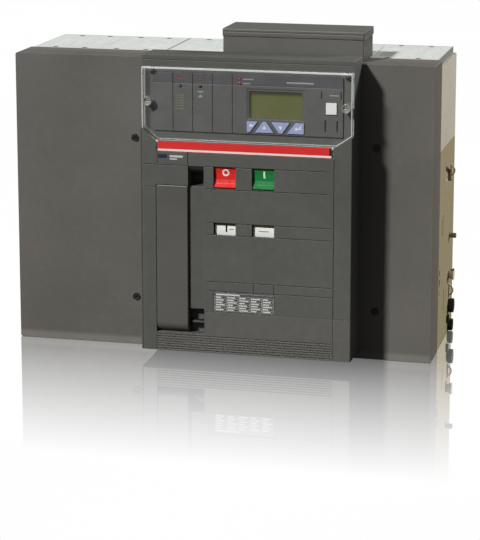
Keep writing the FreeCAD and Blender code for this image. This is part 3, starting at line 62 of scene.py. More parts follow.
class Paint:
    """A node material whose patterns follow the piece's own coordinates, in metres."""

    def __init__(self, name, metallic=0.0, coat=0.0):
        self.material = bpy.data.materials.new(name)
        self.material.use_nodes = True
        self.nodes = self.material.node_tree.nodes
        self.links = self.material.node_tree.links
        self.shader = self.nodes["Principled BSDF"]
        self.shader.inputs["Metallic"].default_value = metallic
        self.shader.inputs["Coat Weight"].default_value = coat
        self.place = self.nodes.new("ShaderNodeTexCoord").outputs["Object"]
        self.axes = None
        self.tone = None

    def put(self, socket, value):
        """Link a socket to another socket, or set it to a constant."""
        if isinstance(value, bpy.types.NodeSocket):
            self.links.new(value, socket)
        else:
            socket.default_value = value

    def maths(self, kind, first, second=0.0, clamp=False):
        """One arithmetic step on two values."""
        node = self.nodes.new("ShaderNodeMath")
        node.operation = kind
        node.use_clamp = clamp
        self.put(node.inputs[0], first)
        self.put(node.inputs[1], second)
        return node.outputs[0]

    def scaled(self, stretch):
        """The piece's own place, stretched along its axes."""
        node = self.nodes.new("ShaderNodeMapping")
        self.links.new(self.place, node.inputs["Vector"])
        node.inputs["Scale"].default_value = stretch
        return node.outputs["Vector"]

    def noise(self, scale, stretch=(1, 1, 1), detail=4.0):
        """Cloudy pattern with so many cells per metre."""
        node = self.nodes.new("ShaderNodeTexNoise")
        self.links.new(self.scaled(stretch), node.inputs["Vector"])
        node.inputs["Scale"].default_value = scale
        node.inputs["Detail"].default_value = detail
        return node.outputs["Fac"]

    def cells(self, scale):
        """Crystal-like pattern, 0 in the middle of each cell."""
        node = self.nodes.new("ShaderNodeTexVoronoi")
        self.links.new(self.place, node.inputs["Vector"])
        node.inputs["Scale"].default_value = scale
        return node.outputs["Distance"]

    def steps(self, value, low, high, out_low=0.0, out_high=1.0):
        """Carry a value from one range to another and hold it at the ends."""
        node = self.nodes.new("ShaderNodeMapRange")
        self.put(node.inputs["Value"], value)
        node.inputs["From Min"].default_value = low
        node.inputs["From Max"].default_value = high
        node.inputs["To Min"].default_value = out_low
        node.inputs["To Max"].default_value = out_high
        return node.outputs["Result"]

    def mix(self, share, first, second):
        """Blend of two colours."""
        node = self.nodes.new("ShaderNodeMix")
        node.data_type = "RGBA"
        self.put(node.inputs[0], share)
        self.put(node.inputs[6], first)
        self.put(node.inputs[7], second)
        return node.outputs[2]

    def blend(self, share, first, second):
        """Blend of two shaders."""
        node = self.nodes.new("ShaderNodeMixShader")
        self.put(node.inputs[0], share)
        self.links.new(first, node.inputs[1])
        self.links.new(second, node.inputs[2])
        return node.outputs[0]

    def along(self, letter):
        """The piece's own X, Y or Z, in metres."""
        if self.axes is None:
            self.axes = self.nodes.new("ShaderNodeSeparateXYZ")
            self.links.new(self.place, self.axes.inputs[0])
        return self.axes.outputs["XYZ".index(letter)]

    def band(self, letter, low, high, soft=0.15):
        """1 between two places on an axis and 0 outside, in millimetres."""
        value = self.along(letter)
        rise = self.steps(value, (low - soft) * MM, (low + soft) * MM)
        fall = self.steps(value, (high - soft) * MM, (high + soft) * MM, 1.0, 0.0)
        return self.maths("MULTIPLY", rise, fall)

    def patch(self, left, right, low, high):
        """1 inside a rectangle in X and Z, in millimetres."""
        return self.maths("MULTIPLY", self.band("X", left, right), self.band("Z", low, high))

    def line(self, start, end, half):
        """1 on the endless straight line through two places (x, z), in millimetres."""
        across, up = end[0] - start[0], end[1] - start[1]
        length = math.hypot(across, up)
        by_x = self.maths("MULTIPLY", self.along("X"), up / length)
        by_z = self.maths("MULTIPLY", self.along("Z"), across / length)
        gap = self.maths("SUBTRACT", by_x, by_z)
        offset = (start[0] * up - start[1] * across) / length * MM
        far = self.maths("ABSOLUTE", self.maths("SUBTRACT", gap, offset))
        return self.steps(far, half * 0.8 * MM, half * 1.2 * MM, 1.0, 0.0)

    def faces(self, letter):
        """How far the piece's own surface looks along its X, Y or Z, from -1 to 1."""
        own = self.nodes.new("ShaderNodeTexCoord").outputs["Normal"]
        parts = self.nodes.new("ShaderNodeSeparateXYZ")
        self.links.new(own, parts.inputs[0])
        return parts.outputs[letter]

    def edges(self, radius):
        """Softened normal, and a mask that is 1 on sharp edges."""
        flat_dot, corner_dot = 0.99, 0.80
        bevel = self.nodes.new("ShaderNodeBevel")
        bevel.samples = 4
        bevel.inputs["Radius"].default_value = radius * MM
        facing = self.nodes.new("ShaderNodeNewGeometry").outputs["Normal"]
        dot = self.nodes.new("ShaderNodeVectorMath")
        dot.operation = "DOT_PRODUCT"
        self.links.new(bevel.outputs["Normal"], dot.inputs[0])
        self.links.new(facing, dot.inputs[1])
        return bevel.outputs["Normal"], self.steps(dot.outputs["Value"], flat_dot, corner_dot)

    def bump(self, height, depth, normal):
        """Relief of a depth in millimetres on top of a softened normal."""
        node = self.nodes.new("ShaderNodeBump")
        node.inputs["Distance"].default_value = depth * MM
        self.put(node.inputs["Height"], height)
        self.links.new(normal, node.inputs["Normal"])
        self.links.new(node.outputs["Normal"], self.shader.inputs["Normal"])

    def colour(self, value):
        """Set the base colour and remember it."""
        self.tone = value
        self.put(self.shader.inputs["Base Color"], value)

    def over(self, mask, value):
        """Paint a colour over the present one where a mask says."""
        self.colour(self.mix(mask, self.tone, value))

    def stripe(self, letter, places, soft, share, value):
        """Paint a share of a colour between two places on an axis."""
        mask = self.maths("MULTIPLY", self.band(letter, *places, soft), share)
        self.over(mask, value)

    def rough(self, value):
        """Set the roughness."""
        self.put(self.shader.inputs["Roughness"], value)


def moulded(name, colour, rough, grain=1500, depth=0.05, shade=0.12, wear_and_highlight=0.3, coat=0.0,
            dust=0.02, rim=0.7):
    """Moulded plastic: spark-eroded grain, cloudy tone, a little dust, and edges lightened as rubbed
    wear and as a painted highlight.
    """
    cloud_scale, speck_scale, edge_tint = 6, 110, 2.4
    paint = Paint(name, coat=coat)
    cloud = paint.steps(paint.noise(cloud_scale, detail=3.0), 0.3, 0.7)
    fine = paint.noise(speck_scale, detail=6.0)
    tone = paint.mix(cloud, tint(colour, 1 - shade), tint(colour, 1 + shade))
    tone = paint.mix(paint.steps(fine, 0.6, 0.8, 0.0, dust), tone, DUST)
    normal, edge = paint.edges(rim)
    # edges lightened: partly rubbed wear, partly a painted highlight
    tone = paint.mix(paint.maths("MULTIPLY", edge, wear_and_highlight), tone, tint(colour, edge_tint))
    paint.colour(tone)
    paint.rough(paint.steps(fine, 0.3, 0.7, rough - 0.07, rough + 0.07))
    paint.bump(paint.noise(grain, detail=2.0), depth, normal)
    return paint


def metal(name, colour, second, rough, stretch=(1, 1, 60), streak=60, wear_and_highlight=0.3, metallic=0.9):
    """Sheet or bar metal: drawing marks, patches of a second tone, edges lightened as wear and as a
    painted highlight.
    """
    patch_scale, mark_depth, mark_tint, edge_tint, edge_radius = 14, 0.02, 0.62, 1.7, 0.5
    paint = Paint(name, metallic=metallic)
    cloud = paint.steps(paint.noise(patch_scale), 0.35, 0.68)
    lines = paint.noise(streak, stretch=stretch, detail=5.0)
    tone = paint.mix(cloud, colour, second)
    tone = paint.mix(paint.steps(lines, 0.35, 0.7, 0.0, 0.25), tone, tint(colour, mark_tint))
    normal, edge = paint.edges(edge_radius)
    # edges lightened: partly wear, partly a painted highlight
    tone = paint.mix(paint.maths("MULTIPLY", edge, wear_and_highlight), tone, tint(colour, edge_tint))
    paint.colour(tone)
    paint.rough(paint.steps(lines, 0.3, 0.7, rough - 0.08, rough + 0.1))
    paint.bump(lines, mark_depth, normal)
    return paint


def dress(paint, *names):
    """Give CAD nodes a material."""
    for name in names:
        mesh = nodes[name].data
        mesh.materials.clear()
        mesh.materials.append(paint.material)


# ---------------------------------------------------------------- the breaker's materials

# Places in the bands below are (low, high) on one axis, in millimetres.

def shield_paint():
    """Dark grey shield with painted light: paler at its foot, browner and lighter on the rim's return
    and its right wall.
    """
    foot, side_return, right_wall = (-5, 9), (-57.5, -20), (273, 290)
    paint = moulded("shield_grey", srgb(97, 94, 88), rough=0.55, grain=1100, depth=0.06)
    # painted light spill along the foot
    paint.stripe("Z", foot, 2.5, 0.35, srgb(150, 146, 138))
    # painted warm light on the rim's return and on the right wall
    paint.stripe("Y", side_return, 1, 0.6, srgb(112, 105, 97))
    paint.stripe("X", right_wall, 1, 0.5, srgb(112, 102, 90))
    return paint


def panel_paint():
    """Front cover: painted shade in its engraved lines, and two small printed bars."""
    engraving_shade = (FACE_Y + 0.35, FACE_Y + 0.9)
    long_bar, short_bar = (-50.5, -33.5, 263, 265.6), (-50.5, -41, 260, 261.6)
    paint = moulded("panel_grey", srgb(85, 86, 81), rough=0.5, grain=1300, depth=0.05, wear_and_highlight=0.55)
    # painted shade on the floors of the engraved lines
    paint.stripe("Y", engraving_shade, 0.1, 0.75, srgb(26, 25, 22))
    for mark in (long_bar, short_bar):
        paint.over(paint.patch(*mark), srgb(196, 196, 190))
    return paint


def lever_paint():
    """Charging lever, polished by the hand at its top end."""
    top_end, worn_rough, plain_rough = (196, 230), 0.3, 0.46
    paint = moulded("lever_grey", srgb(92, 90, 85), rough=0.42, grain=1700, depth=0.04, wear_and_highlight=0.45)
    polish = paint.band("Z", *top_end, 10)
    paint.rough(paint.steps(polish, 0.0, 1.0, plain_rough, worn_rough))
    return paint


def unit_face_paint():
    """Trip unit's face: a bluer title band and dark joints between its modules."""
    foot, band_foot, top, half_joint = 295, 356, 369, 0.45
    paint = moulded("unit_face", srgb(89, 89, 87), rough=0.42, grain=2200, depth=0.025, wear_and_highlight=0.15)
    paint.over(paint.band("Z", band_foot, top, 0.2), srgb(80, 78, 81))
    for x in (-48.5, -23, 2.5, 28):
        paint.over(paint.patch(x - half_joint, x + half_joint, foot, top), srgb(52, 52, 50))
    return paint


def chute_paint():
    """Pale fibre plates with painted shade along the seams between them and along their front and
    rear edges.
    """
    seam_half, seam_soft, seam_share, seam_shade = 1.4, 0.5, 0.7, srgb(92, 92, 86)
    paint = moulded("chute_pale", srgb(211, 214, 210), rough=0.6, grain=700, depth=0.08, shade=0.06,
                    wear_and_highlight=0.1)
    fibres = paint.noise(260, stretch=(1, 5, 1), detail=5.0)
    paint.over(paint.steps(fibres, 0.55, 0.75, 0.0, 0.25), srgb(150, 150, 142))
    # painted shade along the seams and along the front and rear edges
    for letter, places in (("X", (-270, -90, 90, 270)), ("Y", (-30, 103))):
        for place_on_axis in places:
            seam = (place_on_axis - seam_half, place_on_axis + seam_half)
            paint.stripe(letter, seam, seam_soft, seam_share, seam_shade)
    return paint


def box_paint():
    """Terminal box with painted highlight lines along its edges and painted shade on its browner
    right wall.
    """
    right_wall = (180.5, 184)
    paint = moulded("box_grey", srgb(94, 92, 88), rough=0.5, grain=1200, wear_and_highlight=0.8, rim=BOX_RIM)
    # painted shade on the right wall
    paint.over(paint.band("X", *right_wall, 0.2), srgb(66, 61, 50))
    return paint


def stud_paint():
    """Side fittings: black studs and knobs, a cream cone and a grey pin."""
    cone, pin = (71, 84.5), (128, 136)
    paint = moulded("stud_black", srgb(36, 35, 33), rough=0.4, grain=1500, wear_and_highlight=0.5)
    paint.over(paint.band("Z", *cone, 0.4), srgb(238, 228, 196))
    paint.over(paint.band("Z", *pin, 0.2), srgb(158, 153, 142))
    return paint


def button_paint(name, colour):
    """Glossy coloured plastic of the ON and OFF buttons."""
    return moulded(name, colour, rough=0.3, grain=2600, depth=0.015, shade=0.07, wear_and_highlight=0.2,
                   coat=0.3, dust=0.03)


def strip_paint():
    """Red strip with a white line along its foot and a dark mark near its right end."""
    white_line, end_mark = (270.9, 273.4), (153.2, 155.6, 273.6, 282.5)
    paint = moulded("strip_red", srgb(220, 50, 48), rough=0.35, grain=1800, depth=0.02, shade=0.08,
                    wear_and_highlight=0.2)
    paint.over(paint.band("Z", *white_line), srgb(228, 226, 220))
    paint.over(paint.patch(*end_mark), srgb(30, 28, 28))
    return paint


def flag_paint(name, field):
    """Flag drum: white in the window at rest, a coloured field above it."""
    coloured = (178.4, 200)
    paint = moulded(name, srgb(236, 236, 230), rough=0.4, grain=2200, depth=0.015, shade=0.03,
                    wear_and_highlight=0.1)
    paint.over(paint.band("Z", *coloured), field)
    return paint


def zinc_paint():
    """Yellow zinc-plated sheet with a greenish spangle."""
    paint = metal("zinc_yellow", srgb(182, 171, 126), srgb(190, 168, 136), rough=0.55,
                  stretch=(1, 1, 14), streak=40, metallic=0.2)
    spangle = paint.steps(paint.cells(70), 0.1, 0.7, 0.0, 0.18)
    paint.over(spangle, srgb(126, 134, 92))
    return paint


def screen_paint():
    """Olive display: its frame's shadow along the top and the left, and a faint dot pattern."""
    under_frame, beside_frame, shadow = (344.5, 352), (46, 52.5), srgb(48, 48, 24)
    dot_waves = 5200.0
    paint = moulded("display_olive", srgb(100, 103, 62), rough=0.2, grain=1200, depth=0.004,
                    shade=0.05, wear_and_highlight=0.0, coat=0.15, dust=0.01)
    paint.stripe("Z", under_frame, 1.8, 0.8, shadow)
    paint.stripe("X", beside_frame, 1.2, 0.8, shadow)
    across = paint.maths("SINE", paint.maths("MULTIPLY", paint.along("X"), dot_waves))
    up = paint.maths("SINE", paint.maths("MULTIPLY", paint.along("Z"), dot_waves))
    dots = paint.maths("MULTIPLY", across, up)
    paint.over(paint.steps(dots, 0.0, 1.0, 0.0, 0.12), srgb(70, 74, 40))
    return paint


def clear_plastic():
    """Clear moulding: nearly invisible on its flats, milky on its thick walls and edges."""
    top_rim, right_rim, left_rim = (374.6, 380), (180.4, 185), (-90, -85.3)
    foot_lines = (((-86.4, 298.2), (-69, 284.1)), ((181.5, 298.6), (160, 284.1)),
                  ((-66, 284.1), (157, 284.1)))
    line_half, rim_share, edge_share, wall_share = 0.7, 0.7, 0.6, 0.3
    paint = Paint("clear_cover_plastic")
    smears = paint.noise(26, stretch=(1, 1, 2), detail=6.0)
    normal, edge = paint.edges(0.6)
    milk = srgb(232, 235, 233)
    paint.colour(paint.mix(paint.steps(smears, 0.4, 0.7), milk, tint(milk, 0.9)))
    paint.rough(paint.steps(smears, 0.35, 0.75, 0.06, 0.16))
    paint.bump(smears, 0.02, normal)
    # the rim catches light on its front edge, seen as a thin line round the cover
    rim = paint.maths("ADD", paint.band("Z", *top_rim), paint.band("X", *right_rim), clamp=True)
    rim = paint.maths("ADD", rim, paint.band("X", *left_rim), clamp=True)
    for start, end in foot_lines:
        rim = paint.maths("ADD", rim, paint.line(start, end, line_half), clamp=True)
    thick = paint.maths("MULTIPLY", rim, paint.steps(paint.faces("Y"), -0.5, -0.7))
    # the side walls are cloudier than the front
    sideways = paint.maths("ABSOLUTE", paint.faces("X"))
    walls = paint.steps(sideways, 0.6, 0.8, 0.0, wall_share)
    thick = paint.maths("MULTIPLY", thick, rim_share)
    share = paint.maths("ADD", thick, paint.maths("MULTIPLY", edge, edge_share))
    share = paint.maths("ADD", share, walls)
    faint = paint.steps(smears, 0.45, 0.8, 0.010, 0.028)
    paint.put(paint.shader.inputs["Alpha"], paint.maths("ADD", share, faint, clamp=True))
    return paint


# ---------------------------------------------------------------- shield, panel and trip unit

dress(shield_paint(), "front_shield")
dress(panel_paint(), "front_cover")
lower_grey = moulded("lower_grey", srgb(90, 89, 84), rough=0.52, grain=1300, depth=0.05, wear_and_highlight=0.55)
dress(lower_grey, "lower_panel")
dress(lever_paint(), "charging_lever")
unit_grey = moulded("unit_grey", srgb(86, 86, 85), rough=0.5, grain=2000, depth=0.03, wear_and_highlight=0.15)
dress(unit_grey, "trip_unit_body")
dress(unit_face_paint(), "trip_unit_face")
dress(screen_paint(), "lcd_screen")
dress(strip_paint(), "name_strip")
plate = metal("plate_dark", srgb(98, 98, 96), srgb(88, 88, 87), rough=0.42, stretch=(60, 1, 1),
              metallic=0.3, wear_and_highlight=0.4)
dress(plate, "rating_plate")
dress(clear_plastic(), "clear_cover")

# ---------------------------------------------------------------- buttons, keys and flags

dress(button_paint("off_red", srgb(226, 44, 38)), "off_button")
dress(button_paint("on_green", srgb(28, 124, 60)), "on_button")
reset_blue = moulded("reset_blue", srgb(42, 45, 74), rough=0.32, grain=2600, depth=0.015, coat=0.2)
dress(reset_blue, "reset_button")
key_blue = moulded("key_lavender", srgb(155, 165, 206), rough=0.45, grain=2400, depth=0.02,
                   shade=0.05, wear_and_highlight=0.2)
dress(key_blue, "key_back", "key_up", "key_down", "key_enter")
test_white = moulded("test_white", srgb(232, 232, 228), rough=0.35, grain=2400, depth=0.015,
                     shade=0.03)
dress(test_white, "test_button")
dress(flag_paint("position_flag_paint", srgb(120, 128, 30)), "position_flag")
dress(flag_paint("charge_flag_paint", srgb(196, 168, 30)), "charge_flag")

# ---------------------------------------------------------------- poles, box and side fittings

housing = moulded("housing_cream", srgb(214, 204, 176), rough=0.6, grain=900, depth=0.09, shade=0.08)
dress(housing, "pole_housing_1", "pole_housing_2", "pole_housing_3")
dress(chute_paint(), "arc_chute_1", "arc_chute_2", "arc_chute_3")
side_beige = moulded("side_beige", srgb(218, 210, 190), rough=0.55, grain=900, depth=0.07, shade=0.08)
dress(side_beige, "side_panel_left", "side_panel_right")
dress(box_paint(), "terminal_box")
# painted highlight lines along the lid's edges
lid = moulded("lid_grey", srgb(92, 91, 87), rough=0.45, grain=1200, wear_and_highlight=0.8, rim=BOX_RIM)
dress(lid, "terminal_box_lid")
block_white = moulded("block_white", srgb(214, 212, 200), rough=0.5, shade=0.05)
dress(block_white, "terminal_blocks")
black = moulded("black_plastic", srgb(32, 31, 30), rough=0.38, wear_and_highlight=0.5)
dress(black, "current_sensors", "trip_actuator")
dress(stud_paint(), "side_studs")
loop_cream = moulded("loop_cream", srgb(222, 212, 182), rough=0.4, shade=0.08, wear_and_highlight=0.2)
dress(loop_cream, "side_loops")

# ---------------------------------------------------------------- metal pieces

dress(zinc_paint(), "side_plate_left", "side_plate_right", "base_plate", "mechanism_frame")
steel = metal("steel_bright", srgb(190, 188, 180), srgb(172, 168, 158), rough=0.3, metallic=0.55)
dress(steel, "drive_pawl", "main_shaft", "contact_link_1", "contact_link_2", "contact_link_3",
      "camshaft", "spring_crosshead", "contact_pivot_pins", "cover_screw_left", "cover_screw_right")
dark_steel = metal("steel_dark", srgb(92, 92, 92), srgb(74, 70, 66), rough=0.42)
dress(dark_steel, "shield_screws", "arc_chute_screws", "arc_splitter_plates", "ratchet_wheel",
      "closing_springs")
blackened = metal("steel_blackened", srgb(40, 39, 37), srgb(30, 29, 28), rough=0.5, metallic=0.5,
                  wear_and_highlight=0.15)
dress(blackened, "lever_shaft")
tinned = metal("tinned_copper", srgb(206, 202, 194), srgb(198, 176, 152), rough=0.36,
               stretch=(40, 1, 1), streak=50, metallic=0.6)
dress(tinned, "upper_terminals", "lower_terminals")
copper = metal("copper_fingers", srgb(184, 116, 84), srgb(160, 104, 78), rough=0.36, metallic=0.7)
dress(copper, "moving_contact_1", "moving_contact_2", "moving_contact_3")


# ---------------------------------------------------------------- printed and set-in pieces

def bar(left, right, low, high, corner=0.3):
    """Rounded bar as a closed outline of (x, z)."""
    corner = min(corner, (right - left) / 2.01, (high - low) / 2.01)
    outline = []
    centres = ((right - corner, high - corner, 0), (left + corner, high - corner, 90),
               (left + corner, low + corner, 180), (right - corner, low + corner, 270))
    for x, z, start in centres:
        for step in range(4):
            angle = math.radians(start + step * 30)
            outline.append((x + corner * math.cos(angle), z + corner * math.sin(angle)))
    return outline


def circle(x, z, radius, count=40):
    """Circle as a closed outline of (x, z)."""
    outline = []
    for step in range(count):
        angle = 2 * math.pi * step / count
        outline.append((x + radius * math.cos(angle), z + radius * math.sin(angle)))
    return outline


def flat(level):
    """Surface with the same Y at every height."""
    return lambda z: level


def printed(name, body, paint, outlines, surface, proud=0.1, rings=()):
    """Thin layer of outlines, and rings of (x, z, outer, inner), on a surface y(z)."""
    bm = bmesh.new()

    def layer(points, lift):
        return [bm.verts.new((x * MM, (surface(z) - lift) * MM, z * MM)) for x, z in points]

    for outline in outlines:
        front, rear = layer(outline, proud), layer(outline, 0.0)
        bm.faces.new(front)
        bm.faces.new(rear[::-1])
        for step in range(len(outline)):
            bm.faces.new((front[step - 1], front[step], rear[step], rear[step - 1]))
    for x, z, outer, inner in rings:
        loops = [layer(circle(x, z, radius), lift) for radius, lift in
                 ((outer, 0.0), (outer, proud), (inner, proud), (inner, 0.0))]
        for near, far in zip(loops, loops[1:] + loops[:1]):
            for step in range(len(near)):
                bm.faces.new((near[step - 1], near[step], far[step], far[step - 1]))
    bmesh.ops.recalc_face_normals(bm, faces=bm.faces)
    return place(name, bm, body, paint)


def place(name, bm, body, paint):
    """Make a mesh into a piece of the scene that rides on a body."""
    mesh = bpy.data.meshes.new(name)
    bm.to_mesh(mesh)
    bm.free()
    mesh.materials.append(paint.material)
    piece = bpy.data.objects.new(name, mesh)
    bpy.context.scene.collection.objects.link(piece)
    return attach(piece, body)


# a lamp from its rim to its tip: (distance from the axis, lift), as shares of its radius
LAMP_PROFILE = ((1.35, 0.0), (1.35, 0.25), (1.1, 0.35), (1.0, 0.3), (0.85, 0.6), (0.5, 0.85),
                (0.12, 0.95))
LAMP_SIDES = 20


def lamps(name, body, paint, spots, level):
    """Small domed lamps, each with a rim, at (x, z, radius)."""
    bm = bmesh.new()
    for x, z, radius in spots:
        loops = []
        for across, lift in LAMP_PROFILE:
            points = circle(x, z, radius * across, LAMP_SIDES)
            y = (level - radius * lift) * MM
            loops.append([bm.verts.new((u * MM, y, v * MM)) for u, v in points])
        for near, far in zip(loops, loops[1:]):
            for step in range(LAMP_SIDES):
                bm.faces.new((near[step - 1], near[step], far[step], far[step - 1]))
        bm.faces.new(loops[-1])
        bm.faces.new(loops[0][::-1])
    bmesh.ops.recalc_face_normals(bm, faces=bm.faces)
    for face in bm.faces:
        face.smooth = True
    return place(name, bm, body, paint)


def ink(name, colour, rough=0.4):
    """Printing ink, or the fine moulding of a lamp."""
    return moulded(name, colour, rough=rough, grain=2600, depth=0.008, shade=0.06, wear_and_highlight=0.0)


white_ink = ink("ink_white", srgb(235, 235, 230))
black_ink = ink("ink_black", srgb(28, 28, 27))
red_ink = ink("ink_red", srgb(128, 66, 70))
lime_ink = ink("ink_lime", srgb(118, 122, 76))
grey_ink = ink("ink_grey", srgb(150, 152, 150))
pale_ink = ink("ink_pale", srgb(214, 214, 210))
lamp_red = ink("lamp_red", srgb(160, 40, 38), rough=0.18)
lamp_black = ink("lamp_black", srgb(20, 20, 22), rough=0.2)


# a push button's face is two straight slopes that meet in a crease: heights and depths
BUTTON_FOOT, BUTTON_CREASE, BUTTON_TOP = 236.9, 244.9, 253.1
FOOT_Y, CREASE_Y, TOP_Y = -146.2, -146.4, -147.8


def button_face(z):
    """Depth of a push button's hollowed face at a height."""
    if z < BUTTON_CREASE:
        share = (z - BUTTON_FOOT) / (BUTTON_CREASE - BUTTON_FOOT)
        return FOOT_Y + (CREASE_Y - FOOT_Y) * share
    share = (z - BUTTON_CREASE) / (BUTTON_TOP - BUTTON_CREASE)
    return CREASE_Y + (TOP_Y - CREASE_Y) * share


FLAG_AXIS_Y, FLAG_AXIS_Z, FLAG_RADIUS = -111, 171, 35


def flag_face(z):
    """Depth of a flag drum's surface at a height, at rest."""
    return FLAG_AXIS_Y - math.sqrt(FLAG_RADIUS ** 2 - (z - FLAG_AXIS_Z) ** 2)


def button_and_flag_signs():
    """Ring and bar of the push buttons, and the plain marks on the two flags."""
    ring_x, ring_z, outer, inner = 21, 245.6, 4.6, 2.5
    printed("off_ring", "off", white_ink, [], button_face,
            rings=[(ring_x, ring_z, outer, inner)])
    on_bar = bar(69.2, 71.6, 240.4, 249.4, 0.4)
    printed("on_bar", "on", white_ink, [on_bar], button_face)
    # the upright bar is a stack of short ones, which follow the drum's curve
    foot, pitch, height = 169.5, 1.8, 1.9
    stack = []
    for step in range(5):
        low = foot + pitch * step
        stack.append(bar(20.4, 22.6, low, low + height, 0.1))
    printed("position_bar", "position", black_ink, stack, flag_face)
    dash = bar(25, 31, 172.6, 173.8)
    printed("position_dash", "position", grey_ink, [dash], flag_face)
    dash = bar(63, 76, 172, 173.2)
    printed("charge_dash", "charge", grey_ink, [dash], flag_face)


def unit_marks():
    """Plain bars, signs and lamps on the trip unit's face and its two modules."""
    face = flat(UNIT_Y)
    headers = [bar(-44.5, -34, 360.2, 362), bar(-17.5, -9.5, 360.2, 362)]
    printed("module_headers", "breaker", red_ink, headers, face)
    scale_foot, scale_pitch, scale_height = 323, 3.4, 1.5
    scale = []
    for row in range(6):
        low = scale_foot + row * scale_pitch
        scale.append(bar(-44, -41.6, low, low + scale_height))
        scale.append(bar(-40.4, -34.5, low, low + scale_height))
    printed("module_scale", "breaker", lime_ink, scale, face)
    triangle = [(-16.4, 338.6), (-9.4, 338.6), (-12.9, 342.8)]
    signs = [bar(-16.5, -9, 345, 346.8, 0.4), triangle]
    printed("module_signs", "breaker", grey_ink, signs, face)
    spots = [(-39, 352.6, 1.6), (-13, 352.6, 1.6)]
    lamps("module_lamps", "breaker", lamp_black, spots, UNIT_Y)
    spots = [(37.4, 363.6, 1.3), (37.4, 358.2, 1.3)]
    lamps("alarm_lamps", "breaker", lamp_red, spots, UNIT_Y)
    captions = [bar(41.5, 55, 362.9, 364.3), bar(41.5, 51, 357.6, 359), bar(97, 131, 360, 362, 0.4),
                bar(151, 163, 346.2, 347.8, 0.4)]
    printed("unit_captions", "breaker", grey_ink, captions, face)


# arrows on the four keys, as closed outlines of (x, z)
KEY_SIGNS = {
    "back": [(49.5, 306), (52.8, 308.8), (52.8, 306.7), (56, 306.7), (56, 305.3), (52.8, 305.3),
             (52.8, 303.2)],
    "up": [(66.6, 302), (72, 302), (69.3, 306.8)],
    "down": [(87.1, 306.4), (89.8, 301.6), (92.5, 306.4)],
    "enter": [(107.4, 303.6), (110.6, 306.2), (110.6, 304.4), (114.2, 304.4), (114.2, 307.6),
              (115.6, 307.6), (115.6, 303), (110.6, 303), (110.6, 301)],
}
KEY_SIGN_PROUD = 0.06

# table of the rating plate
RULE_HEIGHTS = (68.3, 71.5, 74.7, 77.9, 81.1, 84.3, 87.5, 91.2)
RULE_PLACES = (7.2, 22.4, 37.6, 52.8, 68.0, 83.4)
RULE_HALF = 0.12
ENTRY_LENGTHS = (10.5, 7.2, 12, 8.6)
ENTRY_INSET = 1.4
PLATE_LEVEL = FACE_Y + 0.02
PLATE_PROUD = 0.012


def plate_table():
    """Blank table of the rating plate: rules, and bars where entries would stand."""
    plate_face = flat(PLATE_LEVEL)
    table_foot, table_top = RULE_HEIGHTS[0], RULE_HEIGHTS[-2]
    rules = []
    for height in RULE_HEIGHTS:
        rules.append(bar(7, 83.6, height - RULE_HALF, height + RULE_HALF, 0.1))
    for x in RULE_PLACES:
        rules.append(bar(x - RULE_HALF, x + RULE_HALF, table_foot, table_top, 0.1))
    printed("plate_rules", "breaker", pale_ink, rules, plate_face, proud=PLATE_PROUD)
    heading = bar(9, 40, 88.6, 90.3, 0.5)
    entries = [heading]
    for row, low in enumerate(RULE_HEIGHTS[:-2]):
        for column, left in enumerate(RULE_PLACES[:-1]):
            start = left + ENTRY_INSET
            length = ENTRY_LENGTHS[(row + column * 3) % len(ENTRY_LENGTHS)]
            entries.append(bar(start, start + length, low + 0.8, low + 2.2))
    printed("plate_entries", "breaker", pale_ink, entries, plate_face,
            proud=PLATE_PROUD)


button_and_flag_signs()
unit_marks()
for key, outline in KEY_SIGNS.items():
    printed(f"{key}_sign", f"{key}_key", white_ink, [outline], flat(KEY_Y),
            proud=KEY_SIGN_PROUD)
plate_table()


# ---------------------------------------------------------------- floor, lights, camera

# the floor's mirror image fades with the distance from a rectangle under the breaker, in metres
FOOT_HALF_X = 0.283
FOOT_HALF_Y = 0.061
FADE_START = 0.0
FADE_END = 0.47
MIRROR_SHARE = 0.92     # how much of the floor's look is mirror inside that rectangle
FLOOR_HALF = 14
FLOOR_DROP = 0.0003     # keeps the floor just under the base plate
BOUNCE_GREY = (0.05, 0.05, 0.05, 1)
WHITE = (1, 1, 1, 1)
DIM_LIGHT = 0.16        # the world's brightness as a light, where the eye sees it as 1


def make_floor():
    """White floor that mirrors the breaker at its foot and bounces little light."""
    paint = Paint("floor_pale")
    reach = []
    for letter, half in (("X", FOOT_HALF_X), ("Y", FOOT_HALF_Y)):
        beyond = paint.maths("SUBTRACT", paint.maths("ABSOLUTE", paint.along(letter)), half)
        reach.append(paint.maths("MAXIMUM", beyond, 0.0))
    away = paint.maths("MAXIMUM", reach[0], reach[1])
    share = paint.steps(away, FADE_START, FADE_END, MIRROR_SHARE, 0.0)
    haze = paint.steps(paint.noise(1.2, detail=2.0), 0.3, 0.7, 0.985, 1.0)
    white = paint.nodes.new("ShaderNodeEmission")
    paint.put(white.inputs["Strength"], haze)
    mirror = paint.nodes.new("ShaderNodeBsdfGlossy")
    mirror.inputs["Roughness"].default_value = 0.0
    mirror.inputs["Color"].default_value = WHITE
    dull = paint.nodes.new("ShaderNodeBsdfDiffuse")
    dull.inputs["Color"].default_value = BOUNCE_GREY
    seen = paint.blend(share, white.outputs[0], mirror.outputs[0])
    camera_ray = paint.nodes.new("ShaderNodeLightPath").outputs["Is Camera Ray"]
    whole = paint.blend(camera_ray, dull.outputs[0], seen)
    paint.links.new(whole, paint.nodes["Material Output"].inputs["Surface"])
    bm = bmesh.new()
    bmesh.ops.create_grid(bm, x_segments=8, y_segments=8, size=FLOOR_HALF)
    mesh = bpy.data.meshes.new("floor")
    bm.to_mesh(mesh)
    bm.free()
    mesh.materials.append(paint.material)
    floor = bpy.data.objects.new("floor", mesh)
    floor.location.z = -FLOOR_DROP
    bpy.context.scene.collection.objects.link(floor)


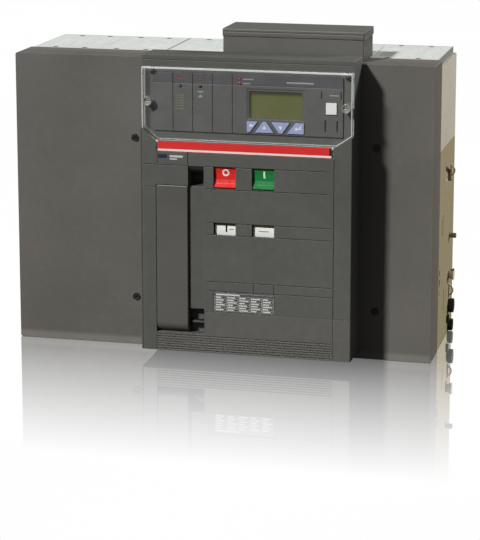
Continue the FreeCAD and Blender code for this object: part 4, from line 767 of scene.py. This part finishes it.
def sun(name, way, strength, spread):
    """Soft light that shines along a direction; the spread is in degrees."""
    light = bpy.data.lights.new(name, "SUN")
    light.energy = strength
    light.angle = math.radians(spread)
    lamp = bpy.data.objects.new(name, light)
    lamp.rotation_euler = Vector(way).to_track_quat("-Z", "Y").to_euler()
    bpy.context.scene.collection.objects.link(lamp)


def studio_world():
    """White backdrop for the eye and for sharp mirrors, dim light for everything else."""
    world = bpy.data.worlds.new("studio")
    world.use_nodes = True
    tree = world.node_tree
    path = tree.nodes.new("ShaderNodeLightPath")
    either = tree.nodes.new("ShaderNodeMath")
    either.operation = "MAXIMUM"
    tree.links.new(path.outputs["Is Camera Ray"], either.inputs[0])
    tree.links.new(path.outputs["Is Singular Ray"], either.inputs[1])
    strength = tree.nodes.new("ShaderNodeMapRange")
    strength.inputs["To Min"].default_value = DIM_LIGHT
    strength.inputs["To Max"].default_value = 1.0
    tree.links.new(either.outputs[0], strength.inputs["Value"])
    background = tree.nodes["Background"]
    background.inputs["Color"].default_value = WHITE
    tree.links.new(strength.outputs["Result"], background.inputs["Strength"])
    return world


make_floor()
sun("key", way=(36, 61, -52), strength=3.45, spread=6)
sun("side_light", way=(-70, -55, -40), strength=2.4, spread=12)
bpy.context.scene.world = studio_world()
bpy.context.scene.view_settings.view_transform = "Standard"

# the photograph's camera; the shift keeps the breaker in frame from every side
FOCAL_PIXELS = 2090.2
FRAME_HEIGHT = 540
SENSOR = 36
CAMERA_PLACE = (0.6403, -2.6333, 0.7527)
CAMERA_DOWN = 10.90
CAMERA_TURN = 13.59
LENS_SHIFT = -0.2
CLIP_FAR = 50
camera_data = bpy.data.cameras.new("camera")
camera_data.sensor_fit = "VERTICAL"
camera_data.sensor_height = SENSOR
camera_data.lens = FOCAL_PIXELS / FRAME_HEIGHT * SENSOR
camera_data.shift_y = LENS_SHIFT
camera_data.clip_end = CLIP_FAR
camera = bpy.data.objects.new("camera", camera_data)
camera.location = CAMERA_PLACE
camera.rotation_euler = (math.radians(90 - CAMERA_DOWN), 0, math.radians(CAMERA_TURN))
bpy.context.scene.collection.objects.link(camera)
bpy.context.scene.camera = camera
